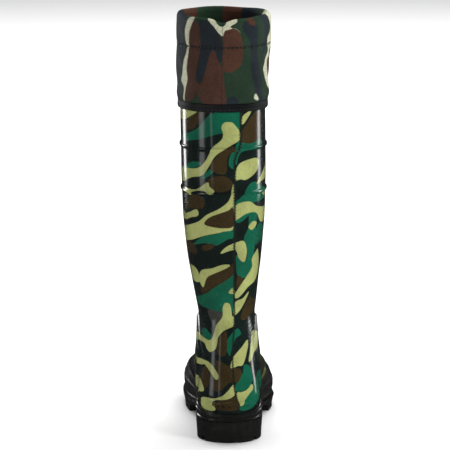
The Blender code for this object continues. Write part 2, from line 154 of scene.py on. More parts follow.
@dataclass(frozen=True)
class LegForm:
    """The leg-and-foot surface that all the layers are laid off."""

    heel_width: float = 74.0
    ball_width: float = 105.0
    ankle_width: float = 68.6
    shaft_width: float = 102.2
    section_power: float = 2.15
    toe_inturn: float = 9.0
    heel_lift: float = 10.0
    toe_spring: float = 7.0
    back: Stations = (
        (16, 4), (25, 3), (40, 2), (52, 2.5), (66, 4.5), (80, 8), (100, 12.5),
        (125, 18), (148, 22.5), (170, 22), (200, 18), (243, 12), (268, 9),
        (300, 7), (355, 8), (400, 10), (530, 10),
    )
    front: Stations = (
        (16, 297), (25, 300), (40, 299), (52, 291), (60, 279), (66, 262),
        (72, 243), (80, 218), (90, 193), (100, 175), (112, 159), (125, 146),
        (148, 133), (178, 129), (200, 131), (243, 139), (300, 143), (355, 146),
        (400, 146), (530, 146),
    )
    middle: Stations = (
        (16, 5.2), (40, 5.0), (60, 4.4), (90, 3.4), (128, 2.4), (148, 1.8),
        (200, 0.0), (243, -1.0), (300, -1.5), (355, -2.2), (400, -2.6),
        (430, -2.4), (480, -1.5), (530, -1.3),
    )
    heel_share: Stations = (
        (16, 0.945), (30, 1.0), (50, 1.013), (60, 1.0), (88, 0.96),
        (108, 0.945), (148, 0.93),
    )
    waist_share: Stations = (
        (16, 0.63), (30, 0.686), (50, 0.752), (60, 0.762), (72, 0.762),
        (88, 0.733), (108, 0.686), (148, 0.655),
    )
    ball_share: Stations = (
        (16, 0.914), (22, 0.965), (30, 1.0), (40, 0.971), (50, 0.924),
        (60, 0.886), (72, 0.82), (88, 0.743), (108, 0.686), (148, 0.655),
    )
    leg_share: Stations = (
        (148, 0.0), (168, 0.18), (194, 0.41), (214, 0.59), (243, 0.77),
        (268, 0.89), (297, 0.95), (326, 1.0), (430, 1.0), (530, 1.0),
    )
    heel_round: Stations = ((16, 40), (60, 42), (100, 50), (148, 55.3), (230, 74))
    toe_round: Stations = (
        (16, 92), (45, 92), (60, 105), (80, 120), (100, 98), (148, 55.3), (230, 74),
    )

    def lift(self, y: Array, level: Array) -> Array:
        """Rise of the foot over the heel and at the toe.

        Args:
            y: Places along the foot, in millimetres.
            level: Levels in millimetres.

        Returns:
            Rise in millimetres.
        """
        fade = 1.0 - ramp(BOTTOM, 70.0, level)
        heel = self.heel_lift * (1.0 - ramp(58.0, 178.0, y))
        toe = self.toe_spring * ramp(215.0, 330.0, y)
        return (heel + toe) * fade

    def half_width(self, y: Array, level: Array) -> Array:
        """Half width at y before the ends are rounded.

        Args:
            y: Places along the foot, in millimetres.
            level: Levels in millimetres.

        Returns:
            Half widths in millimetres.
        """
        heel = follow(self.heel_share, level) * self.heel_width / 2.0
        waist = follow(self.waist_share, level) * self.ball_width / 2.0
        ball = follow(self.ball_share, level) * self.ball_width / 2.0
        foot = follow(
            ((0, heel), (42, heel), (112, waist), (200, ball), (305, ball)), y
        )
        widen = self.shaft_width - self.ankle_width
        leg = (self.ankle_width + widen * follow(self.leg_share, level)) / 2.0
        blend = ramp(118.0, 148.0, level)
        return foot * (1.0 - blend) + leg * blend

    def section(self, t: Array, level: Array) -> tuple[Array, ...]:
        """Side, share along, end share and roundness at a turn and level.

        Args:
            t: Turns round the form, in radians from the back.
            level: Levels in millimetres.

        Returns:
            Side, share along, heel end, roundness and place along the foot.
        """
        turn = np.mod(t, 2.0 * math.pi)
        side = np.where(turn > math.pi, -1.0, 1.0)
        turn = np.where(turn > math.pi, 2.0 * math.pi - turn, turn)
        s = (1.0 - np.cos(turn)) / 2.0
        back = follow(self.back, level)
        length = follow(self.front, level) - back
        heel_end = np.minimum(0.5, follow(self.heel_round, level) / length)
        toe_end = np.minimum(0.5, follow(self.toe_round, level) / length)
        q = np.minimum(1.0, np.minimum(s / heel_end, (1.0 - s) / toe_end))
        q = np.clip(q, 0.0, 1.0)
        power = self.section_power
        ends = (1.0 - (1.0 - q) ** power) ** (1.0 / power)
        return side, s, heel_end, ends, back + s * length

    def point(self, t: Array, level: Array) -> Array:
        """Point on the form; t runs from the back round the +X side.

        Args:
            t: Turns round the form, in radians from the back.
            level: Levels in millimetres.

        Returns:
            Points in working millimetres.
        """
        t, level = np.broadcast_arrays(
            np.asarray(t, dtype=float), np.asarray(level, dtype=float)
        )
        side, _, _, ends, y = self.section(t, level)
        foot = 1.0 - ramp(60.0, 120.0, level)
        inturn = self.toe_inturn * ramp(190.0, 305.0, y) * foot
        reach = side * ends * self.half_width(y, level)
        x = follow(self.middle, level) - inturn + reach
        return np.stack([x, y, level + self.lift(y, level)], axis=-1)

    def outward(self, t: Array, level: Array) -> Array:
        """Unit normal, kept level near the bottom of the foot.

        Args:
            t: Turns round the form, in radians from the back.
            level: Levels in millimetres.

        Returns:
            Unit vectors.
        """
        along = self.point(t + 0.02, level) - self.point(t - 0.02, level)
        low = np.maximum(BOTTOM, level - 1.0)
        up = self.point(t, level + 1.0) - self.point(t, low)
        normal = np.cross(along, up)
        normal[..., 2] *= ramp(22.0, 40.0, level)
        return normal / np.linalg.norm(normal, axis=-1, keepdims=True)

    def relief(self, t: Array, level: Array) -> Array:
        """Height of the moulded ribs, ankle guards and kick-off ledge.

        Args:
            t: Turns round the form, in radians from the back.
            level: Levels in millimetres.

        Returns:
            Heights in millimetres.
        """
        turn = np.mod(t, 2.0 * math.pi)
        turn = np.where(turn > math.pi, 2.0 * math.pi - turn, turn)
        total = np.zeros(np.broadcast(t, level).shape)
        for rib in RIB_LEVELS:
            total = total + 1.7 * (1.0 - ramp(1.0, 2.6, np.abs(level - rib)))
        y = self.point(t, level)[..., 1]
        across = np.abs(y - (72.0 + 0.12 * (level - 100.0)))
        high = 30.0 * np.clip((144.0 - level) / 40.0, 0.0, 1.0)
        low = 30.0 * np.clip((level - 50.0) / 42.0, 0.0, None)
        reach = np.where(level < 92.0, low, high)
        edge = np.clip((across - reach + 3.0) / 6.0, 0.0, 1.0)
        guard = 1.0 - edge * edge * (3.0 - 2.0 * edge)
        total = total + np.where(reach > 1.0, 2.6 * guard, 0.0)
        ledge = 1.0 - ramp(2.0, 5.0, np.abs(level - 42.0))
        return total + 3.6 * ledge * (1.0 - ramp(0.18, 0.42, turn))

    def skin(self, t: Array, level: Array, offset: Array, moulded: Array) -> Array:
        """Point on the form pushed out by offset, with the relief if moulded."""
        push = np.asarray(offset, dtype=float) + moulded * self.relief(t, level)
        return self.point(t, level) + self.outward(t, level) * push[..., None]

    def across(self, t: Array, level: Array) -> Array:
        """Signed share: 0 at the back, 1 at the sides and 2 at the front.

        Args:
            t: Turns round the form, in radians from the back.
            level: Levels in millimetres.

        Returns:
            Signed shares.
        """
        side, s, heel_end, ends, _ = self.section(t, level)
        front = 1.0 + (s - heel_end) / (1.0 - heel_end)
        return side * np.where(s < heel_end, ends, front)


FORM = LegForm()


def foxing_top(t: Array) -> Array:
    """Upper edge of the black sole wall."""
    y = FORM.point(t, 30.0)[..., 1]
    return follow(((0, 24.5), (14, 28), (40, 38), (100, 44), (185, 51), (305, 50)), y)


def patch(tint: Tint, *numbers: float) -> Patch:
    """Patch from share, level and so on, rounded off past the boot's side.

    Args:
        tint: Ink of the patch.
        *numbers: Share, level, share, level and so on.

    Returns:
        The patch.
    """
    corners = list(zip(numbers[0::2], numbers[1::2]))
    outline = []
    for here, after in zip(corners, corners[1:] + corners[:1]):
        outline.append(here)
        at_side = min(abs(here[0]), abs(after[0])) >= SIDE_END
        gap = abs(here[1] - after[1])
        if at_side and here[0] * after[0] > 0.0 and gap > 3.0 and here[1] < HEM_LOW:
            reach = math.copysign(1.08 + 0.012 * min(gap, 20.0), here[0])
            outline.append((reach, (here[1] + after[1]) / 2.0))
    return Patch(tint, tuple(outline))


G, B, T, D, S = Tint.GREEN, Tint.BROWN, Tint.TAN, Tint.DARK, Tint.SLATE

# Print on the leg, from the hem down to the heel; later blotches cover earlier
LEG_PRINT = (
    patch(G, -.95, 366, -.6, 377, -.38, 390, -.25, 396, 0, 399, .4, 399, .41, 388,
          .39, 376, .1, 374, -.2, 371, -.55, 365, -.95, 360),
    patch(G, .27, 346, .36, 362, .85, 362, .85, 353, .42, 350, .3, 335),
    patch(G, .13, 340, .2, 350, .26, 350, .25, 332, .15, 333),
    patch(G, -.9, 330, -.7, 337, -.5, 336, -.75, 328),
    patch(G, -.48, 321, -.3, 330, -.25, 326, -.45, 318),
    patch(G, .27, 290, .45, 298, .6, 310, .75, 312, 1, 300, 1.05, 292, .8, 288,
          .5, 290, .27, 286),
    patch(G, -.78, 236, -.5, 248, 0, 254.5, .245, 262.5, .245, 248, .1, 246,
          -.2, 238, -.5, 240),
    patch(G, .5, 245, .6, 258, .6, 270, .65, 276, .78, 276, .78, 240, .74, 207,
          .6, 197, .36, 200, .31, 215, .33, 226, .55, 217, .6, 228),
    patch(G, .27, 268, .55, 276, .65, 276, .4, 266),
    patch(G, .78, 240, .85, 261, 1.05, 252, 1.05, 240, .8, 236),
    patch(G, -.95, 168, -.55, 178, -.25, 188, 0, 194, .24, 203, .27, 175, .2, 155,
          0, 150, -.12, 155, -.5, 158, -.85, 160),
    patch(G, -.03, 112, 0, 122, .3, 134, .42, 134, .48, 128, .3, 124, .13, 110,
          .08, 104),
    patch(G, .25, 62, .25, 70, .5, 83, .55, 92, .75, 88, .8, 72, .55, 63),
    patch(G, .33, 33, .36, 42, .6, 53, 1, 78, 1.06, 50, .8, 34, .5, 30),
    patch(G, -.9, 128, -.75, 133, -.5, 124, -.8, 121),
    patch(B, .42, 362, .45, 375, .75, 395, .9, 390, .8, 362),
    patch(B, -.7, 375, -.45, 395, -.2, 399, -.55, 399, -.9, 380),
    patch(B, -.28, 335, -.05, 351, .22, 357, .28, 352, .1, 345, .05, 325, -.25, 328),
    patch(B, -.35, 318, 0, 322, .2, 315, .18, 308, 0, 303, -.25, 305),
    patch(B, -.9, 280, -.8, 294, -.6, 298, -.45, 292, -.5, 283, -.7, 281),
    patch(B, -.55, 236, -.28, 240, -.3, 234, -.55, 230),
    patch(B, -.98, 235, -.8, 238, -.72, 225, -1, 225),
    patch(B, .33, 185, .36, 200, .54, 193, .4, 184),
    patch(B, -.75, 183, -.55, 195, -.2, 205, .12, 212, .245, 215, .24, 203,
          0, 194, -.4, 184, -.7, 175),
    patch(B, .5, 150, .75, 170, .95, 165, .95, 150, .6, 144),
    patch(S, -.62, 157, -.12, 154, -.2, 146, -.38, 138, -.5, 140),
    patch(B, -.3, 122, -.05, 133, 0, 127, -.05, 105, -.3, 105, -.37, 112),
    patch(B, -.45, 95, -.3, 98, -.05, 93, .1, 90, .2, 75, 0, 72, -.3, 62, -.5, 63,
          -.55, 70, -.32, 78, -.42, 88),
    patch(B, -.95, 70, -.75, 90, -.55, 80, -.75, 63),
    patch(B, .12, 88, .4, 88, .45, 80, .25, 72),
    patch(B, -.48, 40, -.4, 46, -.2, 49, 0, 50, .15, 53, .25, 55, .3, 50, .33, 44,
          .32, 36, .2, 31, -.2, 31, -.4, 33),
    patch(T, -1, 326, -.6, 330, -.4, 340, -.25, 355, -.07, 363, 0, 368, 0, 374,
          -.03, 380, .03, 385, .12, 386, .22, 385, .28, 382, .38, 375, .4, 370,
          .37, 364, .2, 359, 0, 353, -.2, 345, -.35, 332, -.5, 322, -.75, 318,
          -1, 308, -1.1, 306),
    patch(T, -.95, 398, -.6, 398, -.78, 390, -.98, 384),
    patch(T, .44, 382, .46, 392, .66, 398, .55, 388),
    patch(T, -.95, 303, -.65, 304, -.38, 314, -.33, 309, -.22, 304, -.32, 300,
          -.5, 304, -.73, 301, -.8, 296),
    patch(T, -1, 268, -.85, 274, -.65, 280, -.62, 273, -.8, 269, -.95, 264),
    patch(T, .27, 318, .33, 333, .5, 339, .8, 340, .78, 326, .54, 317, .4, 318),
    patch(T, .78, 310, .9, 320, 1.05, 332, 1.05, 315, .85, 311),
    patch(T, .27, 270, .3, 287, .6, 290, .78, 283, .97, 279, 1.05, 272, 1.05, 262,
          .9, 262, .78, 275, .55, 276, .33, 270),
    patch(T, -1.1, 250, -.85, 259, -.6, 266, -.4, 275, -.1, 283, .13, 293, .2, 307,
          .24, 310, .245, 262, 0, 255.5, -.5, 249, -.95, 238, -1.1, 236),
    patch(B, -.47, 266, -.3, 273.5, .1, 281, .22, 285, .245, 262.5, 0, 259,
          -.42, 261.5),
    patch(T, -.1, 228, .05, 236, .3, 241, .5, 242, .58, 229, .53, 216.5, .38, 222,
          .3, 232, .1, 231),
    patch(T, .6, 259, .7, 265, .8, 262, .7, 255),
    patch(T, .28, 176, .4, 184, .58, 195, .75, 208, .73, 219, .85, 228, .88, 227,
          .94, 206, .88, 191, .68, 184, .48, 175, .33, 172),
    patch(T, -.75, 193, -.65, 205, -.35, 209, -.05, 214, .15, 213.5, 0, 209,
          -.3, 203, -.52, 197, -.67, 184),
    patch(T, -1, 208, -.78, 205, -.76, 190, -1.05, 190),
    patch(T, .1, 180, .22, 185, .285, 178, .13, 178.5),
    patch(T, -.11, 160, -.04, 166, .05, 166.5, .12, 165, .16, 160, .18, 154, .2, 150,
          .27, 150, .27, 140, .1, 136.5, -.12, 133, -.3, 126, -.34, 120, -.4, 112,
          -.48, 109, -.6, 107, -.7, 110, -.8, 116, -1.05, 116, -1.05, 124, -.75, 121,
          -.6, 120.5, -.5, 124, -.42, 132, -.36, 139, -.18, 147, -.12, 152),
    patch(T, .26, 152, .3, 167, .55, 171, .72, 178, .62, 167, .44, 156),
    patch(T, .1, 90, .2, 102, .5, 113, .7, 120, .7, 111, .52, 93, .35, 92),
    patch(T, .72, 95, .8, 110, .9, 128, 1.02, 118, .85, 98),
    patch(T, -.95, 95, -.6, 94, -.33, 81, -.4, 75.5, -.55, 82, -.78, 91, -.95, 88),
    patch(T, .26, 50, .28, 60, .4, 60, .55, 61.5, .65, 64, .75, 68, .8, 66,
          .78, 61, .68, 57, .58, 52, .48, 46, .4, 40, .34, 38, .3, 44),
    patch(T, -.5, 50, -.35, 52, -.2, 55, -.1, 59, 0, 63, .1, 68, .17, 70, .21, 66,
          .22, 60, .15, 55, 0, 51, -.2, 49, -.4, 48.5, -.5, 45, -.5, 38, -.44, 32,
          -.6, 29, -.88, 31, -.9, 42, -.86, 48, -.7, 50),
    patch(T, -1.05, 60, -.95, 72, -.8, 60, -1, 55),
    patch(G, -.9, 414, -.6, 424, -.3, 429, -.35, 420, -.7, 411),
    patch(B, .2, 402, .5, 410, .85, 417, .95, 406, .5, 400),
    patch(T, -.8, 405, -.5, 412, -.2, 420, .1, 425, .3, 421, .1, 413, -.3, 406,
          -.6, 400),
    patch(T, .4, 420, .7, 428, 1, 425, 1, 417, .6, 414),
)

# Print on the woven upper, from the fold down to the hem
UPPER_PRINT = (
    patch(D, -1.1, 525, -.78, 510, -.83, 450, -.9, 430, -.9, 405, -1.1, 405),
    patch(B, -.6, 508, -.46, 490, -.5, 450, -.6, 415, -.82, 410, -.74, 435,
          -.71, 490, -.67, 500),
    patch(T, -.72, 510, -.62, 510, -.67, 502, -.71, 492, -.72, 478, -.73, 465,
          -.75, 447, -.74, 436, -.79, 425, -.82, 410, -.84, 410, -.82, 424,
          -.88, 433, -.83, 446, -.8, 458, -.76, 470, -.79, 488, -.78, 500),
    patch(B, -.2, 472, -.1, 458, -.02, 445, -.02, 430, .05, 406, -.2, 405, -.4, 408,
          -.5, 414, -.58, 428, -.55, 440, -.45, 445, -.36, 455, -.28, 468),
    patch(D, -.5, 507, -.4, 508, -.3, 507, -.2, 503, -.12, 497, -.07, 490, -.03, 480,
          -.02, 470, -.03, 460, -.08, 457, -.13, 461, -.18, 470, -.23, 471,
          -.28, 466, -.33, 456, -.38, 444, -.43, 434, -.5, 431, -.56, 438,
          -.54, 455, -.48, 475, -.49, 490),
    patch(B, -.08, 503, .1, 503, .3, 496, .38, 480, .38, 455, .2, 446, .06, 446,
          -.02, 448, -.02, 462, -.01, 480, -.04, 492),
    patch(B, -.03, 452, .01, 440, .04, 425, .08, 410, .02, 405, -.03, 425),
    patch(T, -.34, 511, -.2, 511, -.1, 507, 0, 507, .1, 513, .26, 514, .27, 508,
          .14, 505, .16, 502, .26, 499, .35, 494, .24, 500, .1, 501, .02, 500,
          -.02, 491, -.06, 493, -.12, 497, -.2, 503),
    patch(D, .4, 505, .52, 508, .7, 498, .7, 465, .8, 430, .85, 405, .73, 415,
          .57, 452, .56, 480, .42, 495),
    patch(B, .5, 509, .58, 513, .65, 502, .55, 503),
    patch(D, .08, 408, .1, 413, .22, 417, .32, 412, .32, 407),
    patch(T, .66, 413, .7, 418, .76, 410),
    patch(D, .75, 517, .9, 514, .94, 492, .86, 466, .8, 457, .86, 492),
    patch(T, .93, 512, .97, 500, .97, 488, .93, 480, .95, 468, .9, 458, .83, 448,
          .86, 438, .9, 430, .94, 424, .99, 420, .96, 432, .95, 450, .97, 462,
          1.02, 474, 1.04, 490, 1.02, 512),
    patch(G, .78, 448, .8, 456, .87, 466, .93, 476, .95, 470, .88, 458, .82, 450),
    patch(B, .97, 460, .94, 450, 1, 425, 1.1, 425, 1.1, 462),
    patch(B, -1.05, 516, -1.06, 486, -1.26, 482, -1.32, 516),
    patch(B, 1.98, 516, 1.97, 484, 1.54, 480, 1.5, 516),
    patch(D, 1.52, 516, 1.54, 480, 1.24, 478, 1.2, 516),
)


def blotches(tints: Sequence[Tint], low: float, high: float) -> tuple[Patch, ...]:
    """Freely drawn blotches for the front half of a print.

    Args:
        tints: Inks taken in turn.
        low: Lowest level.
        high: Highest level.

    Returns:
        Patches with a wavy outline, wider than they are tall.
    """
    made = []
    rng = np.random.default_rng(11)
    level = low
    while level < high:
        for side in (-1.0, 1.0, float(rng.choice((-1.0, 1.0)))):
            tint = tints[len(made) % len(tints)]
            middle = side * rng.uniform(1.24, 1.92)
            wide = rng.uniform(0.1, 0.36)
            tall = rng.uniform(4.0, 13.0)
            tilt = rng.uniform(-14.0, 14.0)
            phase = rng.uniform(0.0, 6.0)
            corners = []
            for step in range(14):
                turn = 2.0 * math.pi * step / 14
                bulge = 1.0 + 0.28 * math.sin(3.0 * turn + phase)
                share = middle + wide * bulge * math.cos(turn)
                rise = tall * bulge * math.sin(turn) + tilt * math.cos(turn)
                corners.append((share, level + rise))
            made.append(Patch(tint, tuple(corners)))
        level += 13.0
    return tuple(made)


def rounded(corners: Sequence[tuple[float, float]], steps: int = 4) -> Array:
    """Closed smooth outline through a patch's corners, in millimetres.

    Args:
        corners: (share, level) pairs in order.
        steps: Points for each stretch between corners.

    Returns:
        Points of the outline, with shares scaled to millimetres.
    """
    points = np.array([(share * 50.0, level) for share, level in corners])
    before, after = np.roll(points, 1, axis=0), np.roll(points, -1, axis=0)
    beyond = np.roll(points, -2, axis=0)
    parts = []
    for step in range(steps):
        u = step / steps
        parts.append(
            points
            + 0.5 * u * (after - before)
            + 0.5 * u * u * (2.0 * before - 5.0 * points + 4.0 * after - beyond)
            + 0.5 * u ** 3 * (3.0 * points - before - 3.0 * after + beyond)
        )
    return np.stack(parts, axis=1).reshape(-1, 2)


def depth_inside(outline: Array, x: Array, y: Array) -> Array:
    """Distance inside (positive) or outside (negative) a closed outline.

    Args:
        outline: Closed outline.
        x: First coordinates.
        y: Second coordinates.

    Returns:
        Signed distances in the outline's unit.
    """
    nearest = np.full(x.shape, np.inf)
    inside = np.zeros(x.shape, dtype=bool)
    ends = np.roll(outline, -1, axis=0)
    for (x0, y0), (x1, y1) in zip(outline, ends):
        dx, dy = x1 - x0, y1 - y0
        length = dx * dx + dy * dy
        if length < 1e-9:
            continue
        along = np.clip(((x - x0) * dx + (y - y0) * dy) / length, 0.0, 1.0)
        gap = (x - x0 - along * dx) ** 2 + (y - y0 - along * dy) ** 2
        nearest = np.minimum(nearest, gap)
        if y0 != y1:
            crosses = (y0 > y) != (y1 > y)
            inside ^= crosses & (x < x0 + (y - y0) * dx / dy)
    return np.where(inside, 1.0, -1.0) * np.sqrt(nearest)


def ink_depths(
    patches: Sequence[Patch], share: Array, level: Array
) -> dict[str, Array]:
    """Depth of every point inside each ink, later patches over earlier.

    Args:
        patches: The print.
        share: Signed share across, from 0 at the back to 2 at the front.
        level: Levels in millimetres.

    Returns:
        One array for each ink, positive inside, cut to 8 mm.
    """
    reach = 8.0
    inks = {tint.value: np.full(share.shape, -reach) for tint in Tint}
    for one in patches:
        outline = rounded(one.corners)
        low, high = outline.min(axis=0) - reach, outline.max(axis=0) + reach
        for wrap in (0.0, 4.0, -4.0):
            x = (share + wrap) * 50.0
            near = (x > low[0]) & (x < high[0]) & (level > low[1]) & (level < high[1])
            if not near.any():
                continue
            depth = np.clip(depth_inside(outline, x[near], level[near]), -reach, reach)
            for name, values in inks.items():
                if name == one.tint.value:
                    values[near] = np.maximum(values[near], depth)
                else:
                    values[near] = np.minimum(values[near], -depth)
    return inks


@dataclass
class Loft:
    """A closed skin laid round the form: one row of points for each station."""

    name: str
    columns: int = 240
    weld: float = 0.004

    def build(
        self,
        points: Array,
        fields: dict[str, Array] | None = None,
        closed: bool = True,
    ) -> bpy.types.Object:
        """Make the piece from its grid of points.

        Args:
            points: Rows by columns by 3 array in working millimetres.
            fields: Values kept at each point for the materials.
            closed: Whether the last row meets the first.

        Returns:
            The piece, at the origin.
        """
        fields = dict(fields or {})
        if closed:
            points = np.concatenate([points, points[:1]], axis=0)
            fields = {k: np.concatenate([v, v[:1]], axis=0) for k, v in fields.items()}
        rows = points.shape[0]
        bm = bmesh.new()
        bmesh.ops.create_grid(
            bm, x_segments=self.columns, y_segments=rows - 1, size=1.0
        )
        mesh = bpy.data.meshes.new(self.name)
        bm.to_mesh(mesh)
        count = len(mesh.vertices)
        flat = np.empty(count * 3)
        mesh.vertices.foreach_get("co", flat)
        flat = flat.reshape(-1, 3)
        column = np.rint((flat[:, 0] + 1.0) * self.columns / 2.0).astype(int)
        row = np.rint((flat[:, 1] + 1.0) * (rows - 1) / 2.0).astype(int)
        placed = (points[row, column] + np.array(ORIGIN)) * MM
        mesh.vertices.foreach_set("co", placed.ravel())
        for name, values in fields.items():
            layer = mesh.attributes.new(name, "FLOAT", "POINT")
            layer.data.foreach_set("value", values[row, column].astype(np.float32))
        steps = np.linalg.norm(np.diff(points, axis=1), axis=-1)
        start = np.zeros((rows, 1))
        round_by = np.concatenate([start, np.cumsum(steps, axis=1)], axis=1)
        climbs = np.linalg.norm(np.diff(points, axis=0), axis=-1).mean(axis=1)
        up_by = np.concatenate([[0.0], np.cumsum(climbs)])
        corner = np.empty(len(mesh.loops), dtype=np.int32)
        mesh.loops.foreach_get("vertex_index", corner)
        uv = mesh.uv_layers.new(name="cloth")
        both = np.stack(
            [round_by[row[corner], column[corner]], up_by[row[corner]]], axis=-1
        )
        uv.data.foreach_set("uv", (both * 0.01).astype(np.float32).ravel())
        bm.clear()
        bm.from_mesh(mesh)
        bmesh.ops.remove_doubles(bm, verts=bm.verts[:], dist=self.weld * MM)
        bmesh.ops.dissolve_degenerate(bm, edges=bm.edges[:], dist=0.001 * MM)
        bmesh.ops.recalc_face_normals(bm, faces=bm.faces[:])
        bm.to_mesh(mesh)
        bm.free()
        mesh.shade_smooth()
        mesh.set_sharp_from_angle(angle=math.radians(50.0))
        piece = bpy.data.objects.new(self.name, mesh)
        bpy.context.scene.collection.objects.link(piece)
        return piece

    def turns(self) -> Array:
        """Turns of the columns, ending on the first one again.

        Returns:
            Turns in radians.
        """
        t = 2.0 * math.pi * np.arange(self.columns + 1) / self.columns
        t[-1] = 0.0
        return t


def resample(profile: Sequence[tuple[float, float]], step: float) -> Array:
    """Points along a smooth open line through a profile, about a step apart.

    Args:
        profile: Points in order.
        step: Length between new points.

    Returns:
        Rows of points.
    """
    points = np.array(profile, dtype=float)
    lengths = np.linalg.norm(np.diff(points, axis=0), axis=1)
    run = np.concatenate([[0.0], np.cumsum(lengths)])
    places = [run[0]]
    for start, end in zip(run[:-1], run[1:]):
        pieces = max(1, int(round((end - start) / step)))
        places.extend(np.linspace(start, end, pieces + 1)[1:])
    places = np.array(places)
    x = follow(tuple(zip(run, points[:, 0])), places)
    y = follow(tuple(zip(run, points[:, 1])), places)
    return np.stack([x, y], axis=1)


def ripple(t: Array, level: Array, seed: int, waves: int = 7) -> Array:
    """Soft uneven swell over a skin, between about -1 and 1.

    Args:
        t: Turns round the form, in radians from the back.
        level: Levels in millimetres.
        seed: Start of the random draws.
        waves: How many waves are added.

    Returns:
        Heights between about -1 and 1.
    """
    rng = np.random.default_rng(seed)
    total = np.zeros(np.broadcast(t, level).shape)
    for _ in range(waves):
        around = rng.integers(1, 9)
        rise = rng.uniform(0.01, 0.07)
        phase = rng.uniform(0.0, 6.28)
        total = total + np.sin(around * t + rise * level + phase)
    return total / math.sqrt(waves) / 1.4


def merge_shells(name: str, parts: Sequence[bmesh.types.BMesh]) -> bpy.types.Object:
    """Store several small closed shapes as one piece.

    Args:
        name: Name of the piece.
        parts: Finished shapes, freed here.

    Returns:
        The piece, at the origin.
    """
    mesh = bpy.data.meshes.new(name)
    whole = bmesh.new()
    for part in parts:
        part.to_mesh(mesh)
        whole.from_mesh(mesh)
        part.free()
    bmesh.ops.recalc_face_normals(whole, faces=whole.faces[:])
    whole.to_mesh(mesh)
    whole.free()
    mesh.shade_smooth()
    piece = bpy.data.objects.new(name, mesh)
    bpy.context.scene.collection.objects.link(piece)
    return piece


@dataclass
class MouldedBoot:
    """The moulded leg and foot, and its sole wall."""

    columns: int = 240
    row_height: float = 1.5

    def shell(self) -> bpy.types.Object:
        """Build the moulded leg and foot with its print.

        Returns:
            The piece, at the origin.
        """
        levels = np.arange(BOTTOM, SHELL_TOP, self.row_height)
        ribs = np.array([rib + step for rib in RIB_LEVELS for step in RIB_STEPS])
        levels = np.unique(np.concatenate([levels, ribs, [SHELL_TOP]]))
        floor = BOTTOM + SHELL_FLOOR
        inside = np.linspace(SHELL_TOP, floor, 70)
        loft = Loft("moulded_leg_and_foot", self.columns)
        t = loft.turns()[None, :]
        outer = levels[:, None]
        swell = 0.25 * ripple(t, outer, 4) * ramp(60.0, 90.0, outer)
        swell = swell * (1.0 - ramp(380.0, 396.0, outer))
        side = FORM.across(t, outer)
        across, up = (side - 0.84) / 0.14, (outer - 122.0) / 15.0
        crinkled = np.exp(-(across ** 2) - up ** 2)
        crinkle = np.sin(1.3 * outer + 2.0 * np.sin(14.0 * t)) * np.sin(55.0 * t)
        push = np.minimum(swell, 0.25) + 0.8 * crinkled * crinkle
        wall = FORM.skin(t, outer, push, 1.0)
        bore = FORM.skin(t, inside[:, None], np.full((70, 1), -SHELL_WALL), 0.0)
        low = FORM.skin(t, np.array([[BOTTOM]]), np.zeros((1, 1)), 1.0)
        under = (low + FORM.skin(-t, np.array([[BOTTOM]]), np.zeros((1, 1)), 1.0)) / 2.0
        deep = FORM.skin(t, np.array([[floor]]), np.full((1, 1), -SHELL_WALL), 0.0)
        back = FORM.skin(-t, np.array([[floor]]), np.full((1, 1), -SHELL_WALL), 0.0)
        points = np.concatenate([under, wall, bore, (deep + back) / 2.0], axis=0)
        every = np.concatenate([[BOTTOM], levels, inside, [floor]])[:, None]
        grid_level = np.broadcast_to(every, points.shape[:2]).copy()
        share = FORM.across(np.broadcast_to(t, points.shape[:2]), grid_level)
        fields = ink_depths(
            LEG_PRINT + blotches((T, G, B, G, T, D), 40.0, 426.0), share, grid_level
        )
        line = follow(
            ((40, .30), (70, .19), (100, .17), (153, .28), (170, .26), (338, .26),
             (362, .41), (405, .42)),
            grid_level,
        )
        seam = np.where(np.abs(share) > 1.0, 30.0, (share - line) * 50.0)
        fields["sock_seam"] = np.clip(seam, -30.0, 30.0)
        fields["level"] = grid_level
        return loft.build(points, fields, closed=False)

    def sole_wall(self) -> bpy.types.Object:
        """Build the black wall round the foot with its two ridges.

        Returns:
            The piece, at the origin.
        """
        loft = Loft("sole_wall_band", self.columns)
        t = loft.turns()
        top = foxing_top(t)
        shares = np.linspace(0.0, 1.0, 44)
        proud = follow(
            ((0.0, 4.4), (0.06, 4.7), (0.13, 4.6), (0.17, 3.3), (0.24, 3.1),
             (0.46, 3.0), (0.52, 3.5), (0.62, 3.5), (0.68, 2.7), (0.9, 2.3),
             (1.0, 1.5)),
            shares,
        )
        outer = BOTTOM + shares[:, None] * (top[None, :] - BOTTOM)
        push = GAP + proud[:, None] * np.ones_like(outer)
        rows = [FORM.skin(t[None, :], outer, push, 0.0)]
        for most in (60, 54, 47, 44, 40, 37, 33, 30, 26, 22, 18, 16):
            level = np.minimum(float(most), top)[None, :]
            rows.append(FORM.skin(t[None, :], level, np.full(level.shape, GAP), 0.0))
        return loft.build(np.concatenate(rows, axis=0))


